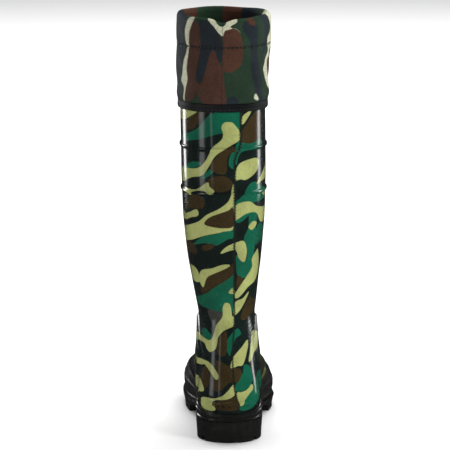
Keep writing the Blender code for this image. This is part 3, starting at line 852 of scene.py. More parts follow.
@dataclass
class Lining:
    """The knit sock inside the leg, and the insole it holds."""

    columns: int = 200

    def sock(self) -> bpy.types.Object:
        """Build the knit sock.

        Returns:
            The piece, at the origin.
        """
        floor = BOTTOM + SHELL_FLOOR
        out, inner = -(SHELL_WALL + GAP), -(SHELL_WALL + GAP + SOCK_WALL)
        low, high = floor + GAP, floor + GAP + SOCK_WALL
        loft = Loft("knit_sock", self.columns)
        t = loft.turns()[None, :]
        up = np.linspace(low, SOCK_TOP, 90)
        down = np.linspace(SOCK_TOP, high, 90)
        outer = FORM.skin(t, up[:, None], np.full((90, 1), out), 0.0)
        inside = FORM.skin(t, down[:, None], np.full((90, 1), inner), 0.0)
        first = FORM.skin(-t, up[:1, None], np.full((1, 1), out), 0.0)
        first = (outer[:1] + first) / 2.0
        last = FORM.skin(-t, down[-1:, None], np.full((1, 1), inner), 0.0)
        last = (inside[-1:] + last) / 2.0
        points = np.concatenate([first, outer, inside, last], axis=0)
        level = np.concatenate([up[:1], up, down, down[-1:]])[:, None]
        level = np.broadcast_to(level, points.shape[:2]).copy()
        share = FORM.across(np.broadcast_to(t, level.shape), level)
        fields = ink_depths(
            LEG_PRINT + blotches((T, G, B, G, T, D), 40.0, 426.0), share, level
        )
        return loft.build(points, fields, closed=False)

    def insole(self) -> bpy.types.Object:
        """Build the felt insole: rounded edge, pressed rim line and soft crown.

        Returns:
            The piece, at the origin.
        """
        loft = Loft("felt_insole", self.columns)
        t = loft.turns()
        level = np.full(t.shape, INSOLE_LOW)
        inset = np.full(t.shape, INSOLE_OUT)
        rim = FORM.skin(t, level, inset, 0.0)
        middle = (rim + FORM.skin(-t, level, inset, 0.0)) / 2.0
        profile = (
            (1.0, 0.1), (0.7, 0.1), (0.3, 0.1), (0.06, 0.1), (0.02, 0.35), (0.004, 1.0),
            (0.0, 2.0), (0.004, 3.0), (0.02, 3.6), (0.06, 3.75), (0.1, 3.35),
            (0.14, 3.3), (0.18, 3.75), (0.3, 3.85), (0.5, 3.9), (0.75, 3.9), (1.0, 3.9),
        )
        rows = []
        for share, height in profile:
            row = rim + share * (middle - rim)
            row[:, 2] = INSOLE_LOW + height + FORM.lift(row[:, 1], np.array(BOTTOM))
            if height > 3.0:
                row[:, 2] += 0.12 * (ripple(t, np.array(60.0 * share), 14, 9) - 1.0)
            rows.append(row)
        return loft.build(np.stack(rows), closed=False)


@dataclass
class FoldedUpper:
    """The woven upper: its sleeve, the flap folded outside it and the hem."""

    columns: int = 300
    stitch_pitch: float = 4.2
    stitch_length: float = 2.9

    def prints(self, t: Array, level: Array) -> dict[str, Array]:
        """Depths inside the inks of the upper's print.

        Args:
            t: Turns round the form, in radians from the back.
            level: Levels in millimetres.

        Returns:
            Fields for the cloth's material.
        """
        at = np.minimum(level, FOLD)
        share = FORM.across(t, at)
        side, along, _, ends, _ = FORM.section(t, at)
        share = np.where(along > 0.5, side * (2.0 - ends), share)
        extra = blotches((T, D, B, G, D), 412.0, 480.0)
        fields = ink_depths(extra + UPPER_PRINT, share, level)
        fields["level"] = level
        turn = np.where(t > math.pi, t - 2.0 * math.pi, t)
        fields["join"] = np.clip((turn - JOIN_TURN) * 66.0, -20.0, 20.0)
        return fields

    def rim_drop(self, t: Array) -> Array:
        """How far the fold sinks below its highest level round the rim.

        Args:
            t: Turns round the form, in radians from the back.

        Returns:
            Drops in millimetres.
        """
        turn = np.where(t > math.pi, t - 2.0 * math.pi, t)
        dip = 4.5 * np.exp(-(((turn - JOIN_TURN) / 0.16) ** 2))
        back = 2.6 * np.exp(-((turn / 0.9) ** 4))
        wave = 0.7 + 0.9 * np.sin(3.0 * turn + 0.6) * np.cos(turn * 2.0)
        return dip + back + np.clip(wave, 0.0, 1.4)

    def slump(self, t: Array, level: Array) -> Array:
        """Inward or outward sag of the flap's cloth.

        Args:
            t: Turns round the form, in radians from the back.
            level: Levels in millimetres.

        Returns:
            Sag in millimetres, negative inwards.
        """
        turn = np.where(t > math.pi, t - 2.0 * math.pi, t)
        soft = ramp(409.0, 432.0, level) * (1.0 - ramp(496.0, 511.0, level))
        tuck = -1.5 * np.exp(-(((level - TUCK) / 2.2) ** 2))
        tuck = tuck * (0.75 + 0.25 * np.sin(38.0 * turn))
        join = -1.3 * np.exp(-(((turn - JOIN_TURN) / 0.035) ** 2))
        pucker = 0.45 * np.exp(-(((turn - JOIN_TURN) / 0.14) ** 2))
        pucker = pucker * np.sin(level * 0.55 + 6.0 * turn)
        creases = np.abs(ripple(t * 1.0, level * 1.7, 33, 9))
        folds = 1.2 * ripple(t, level * 2.2, 21, 12) - 0.7 + 1.3 * (0.35 - creases)
        gathers = 0.22 * np.sin(26.0 * turn + 2.0 * np.sin(5.0 * turn))
        gathers = gathers * np.exp(-((level - 409.0) / 12.0) ** 2)
        sag = np.minimum(soft * (folds + join + pucker) + tuck + gathers * soft, 0.9)
        beside = np.exp(-(((turn - JOIN_TURN) / 0.1) ** 4))
        return sag * (1.0 - beside) + np.maximum(sag, -0.12) * beside

    def flap(self) -> bpy.types.Object:
        """Build the flap as one sheet, from the hem over the fold and inside.

        Returns:
            The piece, at the origin.
        """
        low = HEM_TOP + GAP
        outer = (
            (low, 3.2), (414.0, 4.6), (428.0, 4.9), (450.0, 5.7), (TUCK, 6.0),
            (494.0, 6.1), (SLEEVE_TOP, 5.4), (FOLD - 2.6, 4.6), (FOLD - 0.5, 2.8),
            (FOLD, 1.4),
            (FOLD - 0.6, -0.6), (FOLD - 2.6, -2.1), (SLEEVE_TOP + GAP, -3.0),
        )
        inner = (
            (SLEEVE_TOP + GAP, -2.0), (FOLD - 3.2, -1.2), (FOLD - 1.5, 0.0),
            (FOLD - 1.0, 1.4), (FOLD - 1.4, 2.5), (FOLD - 3.2, 3.7),
            (SLEEVE_TOP + GAP, 4.4), (494.0, 5.1), (TUCK, 5.0), (450.0, 4.7),
            (428.0, 3.9),
            (414.0, 3.6), (low, 2.2),
        )
        profile = np.concatenate([resample(outer, 1.3), resample(inner, 3.0)], axis=0)
        loft = Loft("folded_flap", self.columns)
        t = np.broadcast_to(loft.turns()[None, :], (len(profile), self.columns + 1))
        level = np.broadcast_to(profile[:, :1], t.shape).copy()
        push = profile[:, 1:] + self.slump(t, level)
        points = FORM.skin(t, level, push, 0.0)
        points[..., 2] -= self.rim_drop(t) * ramp(TUCK + 3.0, FOLD, level)
        return loft.build(points, self.prints(t, level))

    def sleeve(self) -> bpy.types.Object:
        """Build the part of the upper that runs up inside the flap.

        Returns:
            The piece, at the origin.
        """
        low = SOCK_TOP + GAP
        outer = ((low, SLEEVE_OUT), (SHELL_TOP, SLEEVE_OUT), (470.0, SLEEVE_OUT + 0.3),
                 (SLEEVE_TOP, SLEEVE_OUT + 0.5))
        inner = ((SLEEVE_TOP, SLEEVE_IN + 0.5), (470.0, SLEEVE_IN + 0.3),
                 (SHELL_TOP, SLEEVE_IN), (low, SLEEVE_IN))
        profile = np.concatenate([resample(outer, 2.0), resample(inner, 2.0)], axis=0)
        loft = Loft("upper_sleeve_cloth", self.columns)
        t = np.broadcast_to(loft.turns()[None, :], (len(profile), self.columns + 1))
        level = np.broadcast_to(profile[:, :1], t.shape).copy()
        sag = 0.5 * (ripple(t, level * 1.5, 8) - 1.0) * ramp(436.0, 455.0, level)
        points = FORM.skin(t, level, profile[:, 1:] + np.minimum(sag, 0.0), 0.0)
        points[..., 2] -= self.rim_drop(t) * ramp(TUCK + 3.0, FOLD, level)
        return loft.build(points, self.prints(t, level))

    def hem(self) -> bpy.types.Object:
        """Build the tape that binds the flap's edge.

        Returns:
            The piece, at the origin.
        """
        outer = (
            (HEM_LOW, 0.5), (HEM_LOW, 2.4), (HEM_LOW + 0.8, 3.0), (HEM_LOW + 2.0, 3.2),
            (HEM_LOW + 3.0, 2.9), (HEM_LOW + 4.0, 3.3), (HEM_TOP - 1.4, 3.3),
            (HEM_TOP - 0.3, 2.9), (HEM_TOP, 2.2), (HEM_TOP, 0.5),
        )
        profile = resample(outer, 0.6)
        loft = Loft("hem_tape", self.columns)
        t = np.broadcast_to(loft.turns()[None, :], (len(profile), self.columns + 1))
        level = np.broadcast_to(profile[:, :1], t.shape).copy()
        wavy = 0.12 * np.sin(70.0 * t) + 0.4 * ripple(t, level * 3.0, 5, 9)
        wavy = np.minimum(wavy, 0.35) * (profile[:, 1:] > 1.5)
        points = FORM.skin(t, level, profile[:, 1:] + wavy - 0.1, 0.0)
        return loft.build(points, {"level": level})

    def seam_tape(self) -> bpy.types.Object:
        """Build the tape behind the flap's join, up to just under the fold.

        Returns:
            The piece, at the origin.
        """
        low, high = 414.0, 497.0
        inside = ((low, 3.6), (428.0, 3.9), (450.0, 4.7), (TUCK, 5.0), (high, 4.9))
        bm = bmesh.new()
        bmesh.ops.create_grid(bm, x_segments=8, y_segments=48, size=1.0)
        for vertex in bm.verts:
            t = np.array(JOIN_TURN + 0.05 * vertex.co.x)
            level = np.array(low + (high - low) * (vertex.co.y + 1.0) / 2.0)
            push = float(follow(inside, level)) - GAP - 0.65
            push += 0.12 * (1.0 - vertex.co.x ** 2)
            place = FORM.point(t, level) + FORM.outward(t, level) * push
            place[2] -= float(self.rim_drop(t) * ramp(TUCK + 3.0, FOLD, level))
            vertex.co = tuple((place + np.array(ORIGIN)) * MM)
        bmesh.ops.recalc_face_normals(bm, faces=bm.faces[:])
        bmesh.ops.solidify(bm, geom=bm.faces[:], thickness=0.4 * MM)
        return merge_shells("flap_join_tape", [bm])

    def stitches(self, name: str, level: float, offset: float) -> bpy.types.Object:
        """Build a row of lock stitches round the boot.

        Args:
            name: Name of the piece.
            level: Level of the row.
            offset: How far it stands out from the form.

        Returns:
            The piece, at the origin.
        """
        count = int(330.0 / self.stitch_pitch)
        parts = []
        for number in range(count):
            t = np.array(2.0 * math.pi * (number + 0.5) / count)
            here = np.array(level)
            side = FORM.outward(t, here)
            along = FORM.point(t + 0.02, here) - FORM.point(t - 0.02, here)
            along = along / np.linalg.norm(along)
            middle = FORM.point(t, here) + side * offset
            bm = bmesh.new()
            bmesh.ops.create_icosphere(bm, subdivisions=1, radius=1.0)
            for vertex in bm.verts:
                x, y, z = vertex.co
                place = middle + along * x * self.stitch_length / 2.0 + side * z * 0.28
                place = place + np.array([0.0, 0.0, y * 0.34])
                vertex.co = tuple((place + np.array(ORIGIN)) * MM)
            parts.append(bm)
        return merge_shells(name, parts)


Rgb = tuple[float, float, float]
Sockets = bpy.types.bpy_prop_collection


def ink(red: int, green: int, blue: int) -> Rgb:
    """Linear colour from 0 to 255 display values.

    Args:
        red: Red, 0 to 255.
        green: Green, 0 to 255.
        blue: Blue, 0 to 255.

    Returns:
        Linear colour.
    """
    def linear(value: int) -> float:
        """Linear share of one display value."""
        share = value / 255.0
        if share <= 0.04045:
            return share / 12.92
        return ((share + 0.055) / 1.055) ** 2.4
    return (linear(red), linear(green), linear(blue))


class Nodes:
    """Small helper that adds and joins nodes in one tree."""

    def __init__(self, tree: bpy.types.NodeTree) -> None:
        """Keep the tree."""
        self.tree = tree

    def add(self, kind: str, **settings: object) -> bpy.types.Node:
        """Add a node and set its properties.

        Args:
            kind: Type of node.
            **settings: Its properties.

        Returns:
            The node.
        """
        node = self.tree.nodes.new(kind)
        for name, value in settings.items():
            setattr(node, name, value)
        return node

    def join(self, source: object, target: object) -> None:
        """Link one socket to another."""
        self.tree.links.new(source, target)

    def put(self, socket: bpy.types.NodeSocket, value: object) -> None:
        """Link a socket in, or set a plain value.

        Args:
            socket: Input to fill.
            value: Socket or plain value.
        """
        if isinstance(value, bpy.types.NodeSocket):
            self.join(value, socket)
        else:
            socket.default_value = value

    def math(self, operation: str, *values: object) -> bpy.types.NodeSocket:
        """Math node on up to three values.

        Args:
            operation: Name of the operation.
            *values: Sockets or numbers.

        Returns:
            The result.
        """
        node = self.add("ShaderNodeMath", operation=operation)
        for socket, value in zip(node.inputs, values):
            self.put(socket, value)
        return node.outputs[0]

    def mix(self, share: object, first: object, second: object) -> bpy.types.NodeSocket:
        """Mix two colours.

        Args:
            share: Share of the second colour.
            first: First colour.
            second: Second colour.

        Returns:
            The mixed colour.
        """
        node = self.add("ShaderNodeMix", data_type="RGBA")
        self.put(node.inputs[0], share)
        for socket, value in ((node.inputs[6], first), (node.inputs[7], second)):
            if isinstance(value, tuple) and len(value) == 3:
                value = (*value, 1.0)
            self.put(socket, value)
        return node.outputs[2]

    def span(
        self,
        value: object,
        low: float,
        high: float,
        start: float = 0.0,
        end: float = 1.0,
    ) -> bpy.types.NodeSocket:
        """Map a value from one range to another, held at the ends.

        Args:
            value: Value to map.
            low: Lowest value in.
            high: Highest value in.
            start: Value out at low.
            end: Value out at high.

        Returns:
            The mapped value.
        """
        node = self.add("ShaderNodeMapRange")
        self.put(node.inputs["Value"], value)
        for name, number in (
            ("From Min", low), ("From Max", high), ("To Min", start), ("To Max", end)
        ):
            node.inputs[name].default_value = number
        return node.outputs["Result"]

    def field(self, name: str) -> bpy.types.NodeSocket:
        """Read a value kept at the points of a piece."""
        return self.add("ShaderNodeAttribute", attribute_name=name).outputs["Fac"]

    def noise(
        self, scale: float, detail: float = 4.0, stretch: Rgb = (1, 1, 1)
    ) -> bpy.types.NodeSocket:
        """Noise on object coordinates; scale counts features in a metre.

        Args:
            scale: Features in a metre.
            detail: Octaves.
            stretch: Scale of each axis.

        Returns:
            The noise, from 0 to 1.
        """
        place = self.add("ShaderNodeTexCoord").outputs["Object"]
        spread = self.add("ShaderNodeMapping")
        spread.inputs["Scale"].default_value = stretch
        self.join(place, spread.inputs["Vector"])
        node = self.add("ShaderNodeTexNoise")
        node.inputs["Scale"].default_value = scale
        node.inputs["Detail"].default_value = detail
        self.join(spread.outputs[0], node.inputs["Vector"])
        return node.outputs["Fac"]


def new_group(
    name: str, inputs: dict[str, float], outputs: Sequence[str]
) -> tuple[bpy.types.NodeTree, Nodes, Sockets, Sockets]:
    """Start a shader node group with float inputs and named outputs.

    Args:
        name: Name of the group.
        inputs: Input labels and their usual values.
        outputs: Output labels.

    Returns:
        The tree, its helper, its input sockets and its output sockets.
    """
    tree = bpy.data.node_groups.new(name, "ShaderNodeTree")
    for label, value in inputs.items():
        socket = tree.interface.new_socket(
            name=label, in_out="INPUT", socket_type="NodeSocketFloat"
        )
        socket.default_value = value
    for label in outputs:
        tree.interface.new_socket(
            name=label, in_out="OUTPUT", socket_type="NodeSocketFloat"
        )
    nodes = Nodes(tree)
    start = nodes.add("NodeGroupInput").outputs
    end = nodes.add("NodeGroupOutput").inputs
    return tree, nodes, start, end


def weave_group() -> bpy.types.NodeTree:
    """Plain weave: height and a mask of the low spots between the yarns, used as
    painted shade.

    Returns:
        The group.
    """
    tree, nodes, start, end = new_group(
        "woven_yarns", {"Yarns": 90.0}, ("Height", "GapShade")
    )
    cloth = nodes.add("ShaderNodeUVMap", uv_map="cloth").outputs[0]
    parts = nodes.add("ShaderNodeSeparateXYZ")
    nodes.join(cloth, parts.inputs[0])
    warp = nodes.math("MULTIPLY", parts.outputs[0], start["Yarns"])
    weft = nodes.math("MULTIPLY", parts.outputs[1], start["Yarns"])
    ridge_a = nodes.math("ABSOLUTE", nodes.math("SINE", warp))
    ridge_b = nodes.math("ABSOLUTE", nodes.math("SINE", weft))
    over = nodes.math("SINE", nodes.math("ADD", warp, 1.5708))
    under = nodes.math("SINE", nodes.math("ADD", weft, 1.5708))
    cross = nodes.math("MULTIPLY", over, under)
    turn = nodes.span(cross, -0.3, 0.3)
    height = nodes.math(
        "ADD",
        nodes.math("MULTIPLY", ridge_a, turn),
        nodes.math("MULTIPLY", ridge_b, nodes.math("SUBTRACT", 1.0, turn)),
    )
    nodes.join(height, end["Height"])
    # Painted shade mask: 1 in the weave's low spots, where it darkens the colour.
    nodes.join(nodes.span(height, 0.55, 0.1), end["GapShade"])
    return tree


def grain_group() -> bpy.types.NodeTree:
    """Moulded surface: slow swell, fine grain and scattered dust.

    Returns:
        The group.
    """
    tree, nodes, start, end = new_group(
        "moulded_grain",
        {"Swell": 1.0, "Grain": 1.0},
        ("Height", "Uneven", "Dust"),
    )
    slow = nodes.noise(16.0, 2.0, (1.0, 1.0, 0.55))
    fine = nodes.noise(420.0, 3.0)
    height = nodes.math(
        "ADD",
        nodes.math("MULTIPLY", slow, start["Swell"]),
        nodes.math("MULTIPLY", fine, nodes.math("MULTIPLY", start["Grain"], 0.02)),
    )
    nodes.join(height, end["Height"])
    nodes.join(nodes.noise(34.0, 5.0), end["Uneven"])
    nodes.join(nodes.span(nodes.noise(150.0, 6.0), 0.58, 0.72), end["Dust"])
    return tree


GROUPS: dict[str, bpy.types.NodeTree] = {}


def effect(nodes: Nodes, name: str, **values: float) -> bpy.types.Node:
    """Place a shared effect in a material with its own values.

    Args:
        nodes: Helper of the tree to add to.
        name: Which effect.
        **values: Values of its inputs.

    Returns:
        The group's node.
    """
    if name not in GROUPS:
        GROUPS[name] = {"weave": weave_group, "grain": grain_group}[name]()
    node = nodes.add("ShaderNodeGroup", node_tree=GROUPS[name])
    for label, value in values.items():
        node.inputs[label].default_value = value
    return node


@dataclass(frozen=True)
class Finish:
    """A surface finish: a Principled shader with detail of its own."""

    name: str
    roughness: float = 0.6
    coat: float = 0.0
    coat_roughness: float = 0.05
    specular: float = 0.5
    sheen: float = 0.0

    def start(self) -> tuple[bpy.types.Material, Nodes, bpy.types.Node]:
        """Make the material and its shader.

        Returns:
            The material, its helper and its shader.
        """
        material = bpy.data.materials.new(self.name)
        material.use_nodes = True
        nodes = Nodes(material.node_tree)
        shader = material.node_tree.nodes["Principled BSDF"]
        shader.inputs["Roughness"].default_value = self.roughness
        shader.inputs["Coat Weight"].default_value = self.coat
        shader.inputs["Coat Roughness"].default_value = self.coat_roughness
        shader.inputs["Specular IOR Level"].default_value = self.specular
        shader.inputs["Sheen Weight"].default_value = self.sheen
        return material, nodes, shader

    def bump(
        self, nodes: Nodes, shader: bpy.types.Node, height: object, depth: float
    ) -> None:
        """Raise the surface by a height of the given depth in metres.

        Args:
            nodes: Helper of the tree to add to.
            shader: Shader to bump.
            height: Height socket.
            depth: Depth in metres.
        """
        node = nodes.add("ShaderNodeBump")
        node.inputs["Distance"].default_value = depth
        nodes.join(height, node.inputs["Height"])
        nodes.join(node.outputs[0], shader.inputs["Normal"])


@dataclass(frozen=True)
class PrintedFinish(Finish):
    """A camouflage print in four inks over a ground colour."""

    ground: Rgb = (0.01, 0.02, 0.02)
    green: Rgb = (0.02, 0.1, 0.06)
    brown: Rgb = (0.05, 0.04, 0.01)
    tan: Rgb = (0.4, 0.45, 0.2)
    dark: Rgb = (0.01, 0.015, 0.015)
    slate: Rgb = (0.05, 0.05, 0.045)
    blur: float = 0.22

    def printed(self, nodes: Nodes) -> bpy.types.NodeSocket:
        """Lay the inks over the ground.

        Args:
            nodes: Helper of the tree to add to.

        Returns:
            The printed colour.
        """
        colour: object = (*self.ground, 1.0)
        for name, shade in (
            ("dark", self.dark),
            ("slate", self.slate),
            ("green", self.green),
            ("brown", self.brown),
            ("tan", self.tan),
        ):
            edge = nodes.span(nodes.field(name), -self.blur - 0.3, self.blur - 0.1)
            colour = nodes.mix(edge, colour, shade)
        return colour


@dataclass(frozen=True)
class PrintedPvc(PrintedFinish):
    """Glossy clear PVC over a printed knit."""

    def material(self) -> bpy.types.Material:
        """Make the material.

        Returns:
            The material.
        """
        material, nodes, shader = self.start()
        colour = self.printed(nodes)
        grain = effect(nodes, "grain", Swell=1.0, Grain=0.6)
        uneven = nodes.span(grain.outputs["Uneven"], 0.35, 0.65, 0.82, 1.12)
        shade = nodes.add("ShaderNodeHueSaturation")
        nodes.join(colour, shade.inputs["Color"])
        nodes.join(uneven, shade.inputs["Value"])
        knit = nodes.noise(900.0, 2.0, (1.0, 1.0, 0.35))
        loops = nodes.span(knit, 0.45, 0.7, 0.0, 0.22)
        knitted = nodes.mix(loops, shade.outputs[0], (0.005, 0.008, 0.006))
        zig = nodes.math("PINGPONG", nodes.field("level"), 1.7)
        swing = nodes.math("MULTIPLY", nodes.math("SUBTRACT", zig, 0.85), 1.1)
        off = nodes.math("SUBTRACT", nodes.field("sock_seam"), swing)
        off = nodes.math("ABSOLUTE", off)
        line = nodes.span(off, 1.75, 1.15, 0.0, 0.94)
        sewn = nodes.mix(line, knitted, (0.012, 0.016, 0.012))
        nodes.join(sewn, shader.inputs["Base Color"])
        dusty = self.roughness + 0.12
        rough = nodes.span(grain.outputs["Dust"], 0.0, 1.0, self.roughness, dusty)
        nodes.join(rough, shader.inputs["Roughness"])
        self.bump(nodes, shader, grain.outputs["Height"], 0.0035)
        return material


@dataclass(frozen=True)
class PrintedCloth(PrintedFinish):
    """Printed cloth with a woven or knitted surface."""

    yarns: float = 300.0
    depth: float = 0.00012
    speckle: float = 0.35
    joined: bool = False

    def material(self) -> bpy.types.Material:
        """Make the material.

        Returns:
            The material.
        """
        material, nodes, shader = self.start()
        colour = self.printed(nodes)
        weave = effect(nodes, "weave", Yarns=self.yarns)
        grain = effect(nodes, "grain", Swell=0.6, Grain=1.0)
        worn = nodes.span(grain.outputs["Uneven"], 0.3, 0.7, 0.8, 1.15)
        shade = nodes.add("ShaderNodeHueSaturation")
        nodes.join(colour, shade.inputs["Color"])
        nodes.join(worn, shade.inputs["Value"])
        # Painted shade between the yarns: the weave's low spots are mixed towards near
        # black.
        gap_shade = nodes.math("MULTIPLY", weave.outputs["GapShade"], 0.45)
        speckled = nodes.span(nodes.noise(620.0, 2.0), 0.4, 0.62, 0.0, self.speckle)
        colour = nodes.mix(speckled, shade.outputs[0], (0.012, 0.013, 0.012))
        colour = nodes.mix(gap_shade, colour, (0.01, 0.011, 0.01))
        if self.joined:
            off = nodes.math("ABSOLUTE", nodes.field("join"))
            dash = nodes.math("PINGPONG", nodes.field("level"), 1.6)
            dash = nodes.span(dash, 0.3, 0.7, 0.45, 0.95)
            line = nodes.math("MULTIPLY", nodes.span(off, 0.8, 0.1, 0.0, 0.6), dash)
            rise = nodes.math("SUBTRACT", nodes.field("level"), TUCK)
            tuck = nodes.span(nodes.math("ABSOLUTE", rise), 1.3, 0.4, 0.0, 0.85)
            line = nodes.math("MAXIMUM", line, tuck)
            colour = nodes.mix(line, colour, (0.008, 0.009, 0.009))
        nodes.join(colour, shader.inputs["Base Color"])
        soft = nodes.add("ShaderNodeBump")
        soft.inputs["Distance"].default_value = 0.004
        nodes.join(grain.outputs["Height"], soft.inputs["Height"])
        fine = nodes.add("ShaderNodeBump")
        fine.inputs["Distance"].default_value = self.depth
        nodes.join(weave.outputs["Height"], fine.inputs["Height"])
        nodes.join(soft.outputs[0], fine.inputs["Normal"])
        nodes.join(fine.outputs[0], shader.inputs["Normal"])
        return material


@dataclass(frozen=True)
class PlainFinish(Finish):
    """One colour with grain, unevenness and dust."""

    colour: Rgb = (0.02, 0.02, 0.02)
    dust: Rgb = (0.1, 0.1, 0.09)
    dusty: float = 0.2
    depth: float = 0.0006
    fibre: float = 0.0

    def material(self) -> bpy.types.Material:
        """Make the material.

        Returns:
            The material.
        """
        material, nodes, shader = self.start()
        grain = effect(nodes, "grain", Swell=0.8, Grain=1.5)
        worn = nodes.span(grain.outputs["Uneven"], 0.3, 0.7, 0.0, 1.0)
        low = tuple(0.7 * part for part in self.colour)
        colour = nodes.mix(worn, low, self.colour)
        specks = nodes.math("MULTIPLY", grain.outputs["Dust"], self.dusty)
        colour = nodes.mix(specks, colour, self.dust)
        height = grain.outputs["Height"]
        if self.fibre:
            strands = nodes.noise(self.fibre, 5.0, (1.0, 0.3, 1.0))
            colour = nodes.mix(nodes.span(strands, 0.4, 0.6, 0.0, 0.5), colour, low)
            height = nodes.math("ADD", height, strands)
        nodes.join(colour, shader.inputs["Base Color"])
        dull = min(1.0, self.roughness + 0.12)
        rough = nodes.span(grain.outputs["Uneven"], 0.3, 0.7, self.roughness, dull)
        nodes.join(rough, shader.inputs["Roughness"])
        self.bump(nodes, shader, height, self.depth)
        return material


@dataclass(frozen=True)
class Wardrobe:
    """All the finishes of the boot."""

    pvc: PrintedPvc = PrintedPvc(
        "printed_clear_pvc", roughness=0.2, coat=1.0, coat_roughness=0.13, specular=0.3,
        ground=ink(19, 30, 27), green=ink(14, 92, 68), brown=ink(58, 46, 25),
        tan=ink(164, 170, 104), dark=ink(18, 27, 27), slate=ink(62, 62, 58),
    )
    black: PlainFinish = PlainFinish(
        "black_moulded_pvc", roughness=0.3, coat=1.0, coat_roughness=0.09,
        colour=ink(27, 27, 26), dust=ink(70, 69, 60), dusty=0.18,
    )
    knit: PrintedCloth = PrintedCloth(
        "printed_knit", roughness=0.9, sheen=0.2, yarns=200.0,
        ground=ink(40, 46, 42), green=ink(64, 90, 66), brown=ink(86, 66, 46),
        tan=ink(150, 148, 116), dark=ink(36, 42, 44), depth=0.0003,
    )
    upper: PrintedCloth = PrintedCloth(
        "printed_woven_upper", roughness=0.6, sheen=0.0, specular=0.25, yarns=420.0,
        blur=0.25, joined=True,
        ground=ink(38, 62, 43), green=ink(38, 62, 43), brown=ink(84, 52, 38),
        tan=ink(214, 215, 186), dark=ink(34, 44, 52),
    )
    tape: PlainFinish = PlainFinish(
        "hem_and_seam_tape", roughness=0.5, colour=ink(24, 25, 27), fibre=700.0,
        sheen=0.0, dusty=0.05, depth=0.0004,
    )
    thread: PlainFinish = PlainFinish(
        "sewing_thread", roughness=0.6, colour=ink(74, 76, 72), fibre=1600.0,
        depth=0.0001,
    )
    board: PlainFinish = PlainFinish(
        "pressed_board", roughness=0.9, colour=ink(160, 138, 106), fibre=500.0
    )
    felt: PlainFinish = PlainFinish(
        "grey_felt", roughness=0.95, colour=ink(112, 112, 114), fibre=380.0, sheen=0.4
    )


def dress(node_or_piece: bpy.types.Object, material: bpy.types.Material) -> None:
    """Give a piece or a frame node one material.

    Args:
        node_or_piece: Object to dress.
        material: Its material.
    """
    slots = node_or_piece.material_slots
    if len(slots) == 0:
        node_or_piece.data.materials.append(material)
    for slot in slots:
        slot.material = material


@dataclass
class Studio:
    """Pale floor, soft strip lights and the camera."""

    lens: float = 212.2
    away: float = 3.2415
    height: float = 0.782
    pitch: float = 80.5
    ambient: float = 0.22
    reflected: float = 0.02

    def light(
        self,
        name: str,
        place: Rgb,
        aim: Rgb,
        size: tuple[float, float],
        power: float,
        mirrored: bool = True,
    ) -> None:
        """Add a soft rectangular light aimed at a point.

        Args:
            name: Name of the light.
            place: Its position.
            aim: Point that it faces.
            size: Its width and height in metres.
            power: Power in watts.
            mirrored: Whether glossy surfaces reflect it.
        """
        data = bpy.data.lights.new(name, "AREA")
        data.shape = "RECTANGLE"
        data.size, data.size_y = size
        data.energy = power
        lamp = bpy.data.objects.new(name, data)
        way = np.array(aim) - np.array(place)
        yaw = math.atan2(-way[0], way[1])
        tilt = math.atan2(way[2], math.hypot(way[0], way[1]))
        lamp.location = place
        lamp.visible_glossy = mirrored
        lamp.rotation_euler = (math.pi / 2.0 + tilt, 0.0, yaw)
        bpy.context.scene.collection.objects.link(lamp)

    def build(self) -> None:
        """Set the floor, lights, world and camera."""
        bm = bmesh.new()
        bmesh.ops.create_grid(bm, x_segments=1, y_segments=1, size=16.0)
        bmesh.ops.translate(bm, verts=bm.verts[:], vec=(0.0, 0.0, -0.0004))
        mesh = bpy.data.meshes.new("studio_floor")
        bm.to_mesh(mesh)
        bm.free()
        floor = bpy.data.objects.new("studio_floor", mesh)
        bpy.context.scene.collection.objects.link(floor)
        paper = bpy.data.materials.new("pale_paper")
        paper.use_nodes = True
        shader = paper.node_tree.nodes["Principled BSDF"]
        shader.inputs["Base Color"].default_value = (0.93, 0.93, 0.93, 1.0)
        shader.inputs["Roughness"].default_value = 0.7
        mesh.materials.append(paper)
        floor.visible_glossy = False
        world = bpy.data.worlds.new("studio_air")
        world.use_nodes = True
        air = Nodes(world.node_tree)
        ambient = world.node_tree.nodes["Background"]
        ambient.inputs[0].default_value = (1.0, 1.0, 1.0, 1.0)
        glossy = air.add("ShaderNodeLightPath").outputs["Is Glossy Ray"]
        strength = air.span(glossy, 0.0, 1.0, self.ambient, self.reflected)
        air.join(strength, ambient.inputs[1])
        bpy.context.scene.world = world
        bpy.context.scene.view_settings.view_transform = "Standard"
        middle = (0.0, 0.0, 0.28)
        self.light("left_strip", (-1.83, -0.81, 0.75), middle, (0.6, 1.7), 4.6)
        self.light("left_fill", (-1.1, -1.7, 0.75), middle, (0.16, 1.5), 0.9)
        self.light("right_strip", (1.66, 1.12, 0.75), middle, (0.36, 1.7), 6.0)
        self.light("left_rim", (-1.5, 1.7, 0.6), middle, (0.5, 1.4), 8.0)
        self.light("key", (2.5, -2.0, 1.25), middle, (1.2, 1.2), 66.0, mirrored=False)
        self.light(
            "overhead", (0.2, 2.6, 3.4), (0.0, 2.6, 0.0), (5.0, 5.0), 330.0,
            mirrored=False,
        )
        data = bpy.data.cameras.new("view")
        data.lens = self.lens
        data.sensor_width = 36.0
        camera = bpy.data.objects.new("view", data)
        camera.location = (-0.00127, -self.away, self.height)
        camera.rotation_euler = (math.radians(self.pitch), 0.0, 0.0)
        bpy.context.scene.collection.objects.link(camera)
        bpy.context.scene.camera = camera


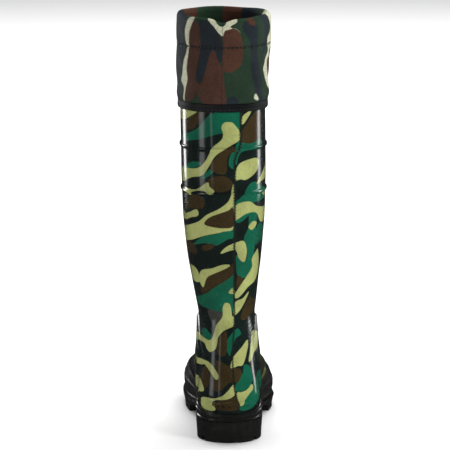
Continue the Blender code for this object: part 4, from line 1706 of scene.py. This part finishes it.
def ring_length(level: float) -> float:
    """Length round the form at a level, in metres.

    Args:
        level: Level in millimetres.

    Returns:
        Length in metres.
    """
    t = np.linspace(0.0, 2.0 * math.pi, 361)
    points = FORM.point(t, np.full(t.shape, level))
    return float(np.linalg.norm(np.diff(points, axis=0), axis=1).sum()) * MM


def main() -> None:
    """Build, dress and attach every piece."""
    logging.basicConfig(level=logging.INFO)
    looks = Wardrobe()
    pvc, black = looks.pvc.material(), looks.black.material()
    knit, upper = looks.knit.material(), looks.upper.material()
    tape, thread = looks.tape.material(), looks.thread.material()
    board, felt = looks.board.material(), looks.felt.material()
    boot, lining, cuff = MouldedBoot(), Lining(), FoldedUpper()

    pieces = (
        (boot.shell(), pvc, "camo_pvc", "leg_and_foot_shell", "boot"),
        (boot.sole_wall(), black, "black_pvc", "sole_wall", "boot"),
        (lining.sock(), knit, "camo_knit", "knit_sock_lining", "boot"),
        (lining.insole(), felt, "insole_felt", "removable_insole", "insole"),
        (cuff.sleeve(), upper, "camo_nylon", "upper_sleeve", "boot"),
        (cuff.flap(), upper, "camo_nylon", "upper_flap", None),
        (
            cuff.stitches("tuck_stitches", TUCK, TUCK_THREAD_OUT), thread,
            "dark_thread", "tuck_stitching", None,
        ),
        (cuff.seam_tape(), tape, "black_tape", "flap_seam_tape", None),
        (cuff.hem(), tape, "black_tape", "hem_binding", "hem"),
        (
            cuff.stitches("hem_stitches", HEM_LOW + 3.0, HEM_THREAD_OUT), thread,
            "dark_thread", "hem_stitching", "hem",
        ),
    )
    for piece, material, slot, node, body in pieces:
        dress(piece, material)
        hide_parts(node)
        if body is None:
            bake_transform(piece)
        else:
            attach(piece, body)
        faces = len(piece.data.polygons)
        LOG.info("built %s for %s: %d faces", piece.name, node, faces)

    round_flap = ring_length(470.0)

    for node, material in (
        ("outsole", black), ("insole_board", board),
        ("sock_back_seam", tape), ("sleeve_joint_tape", tape),
        ("sleeve_seam_tape", tape),
    ):
        dress(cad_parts[node], material)
        LOG.info("dressed %s", node)

    Studio().build()


if __name__ == "__main__":
    main()
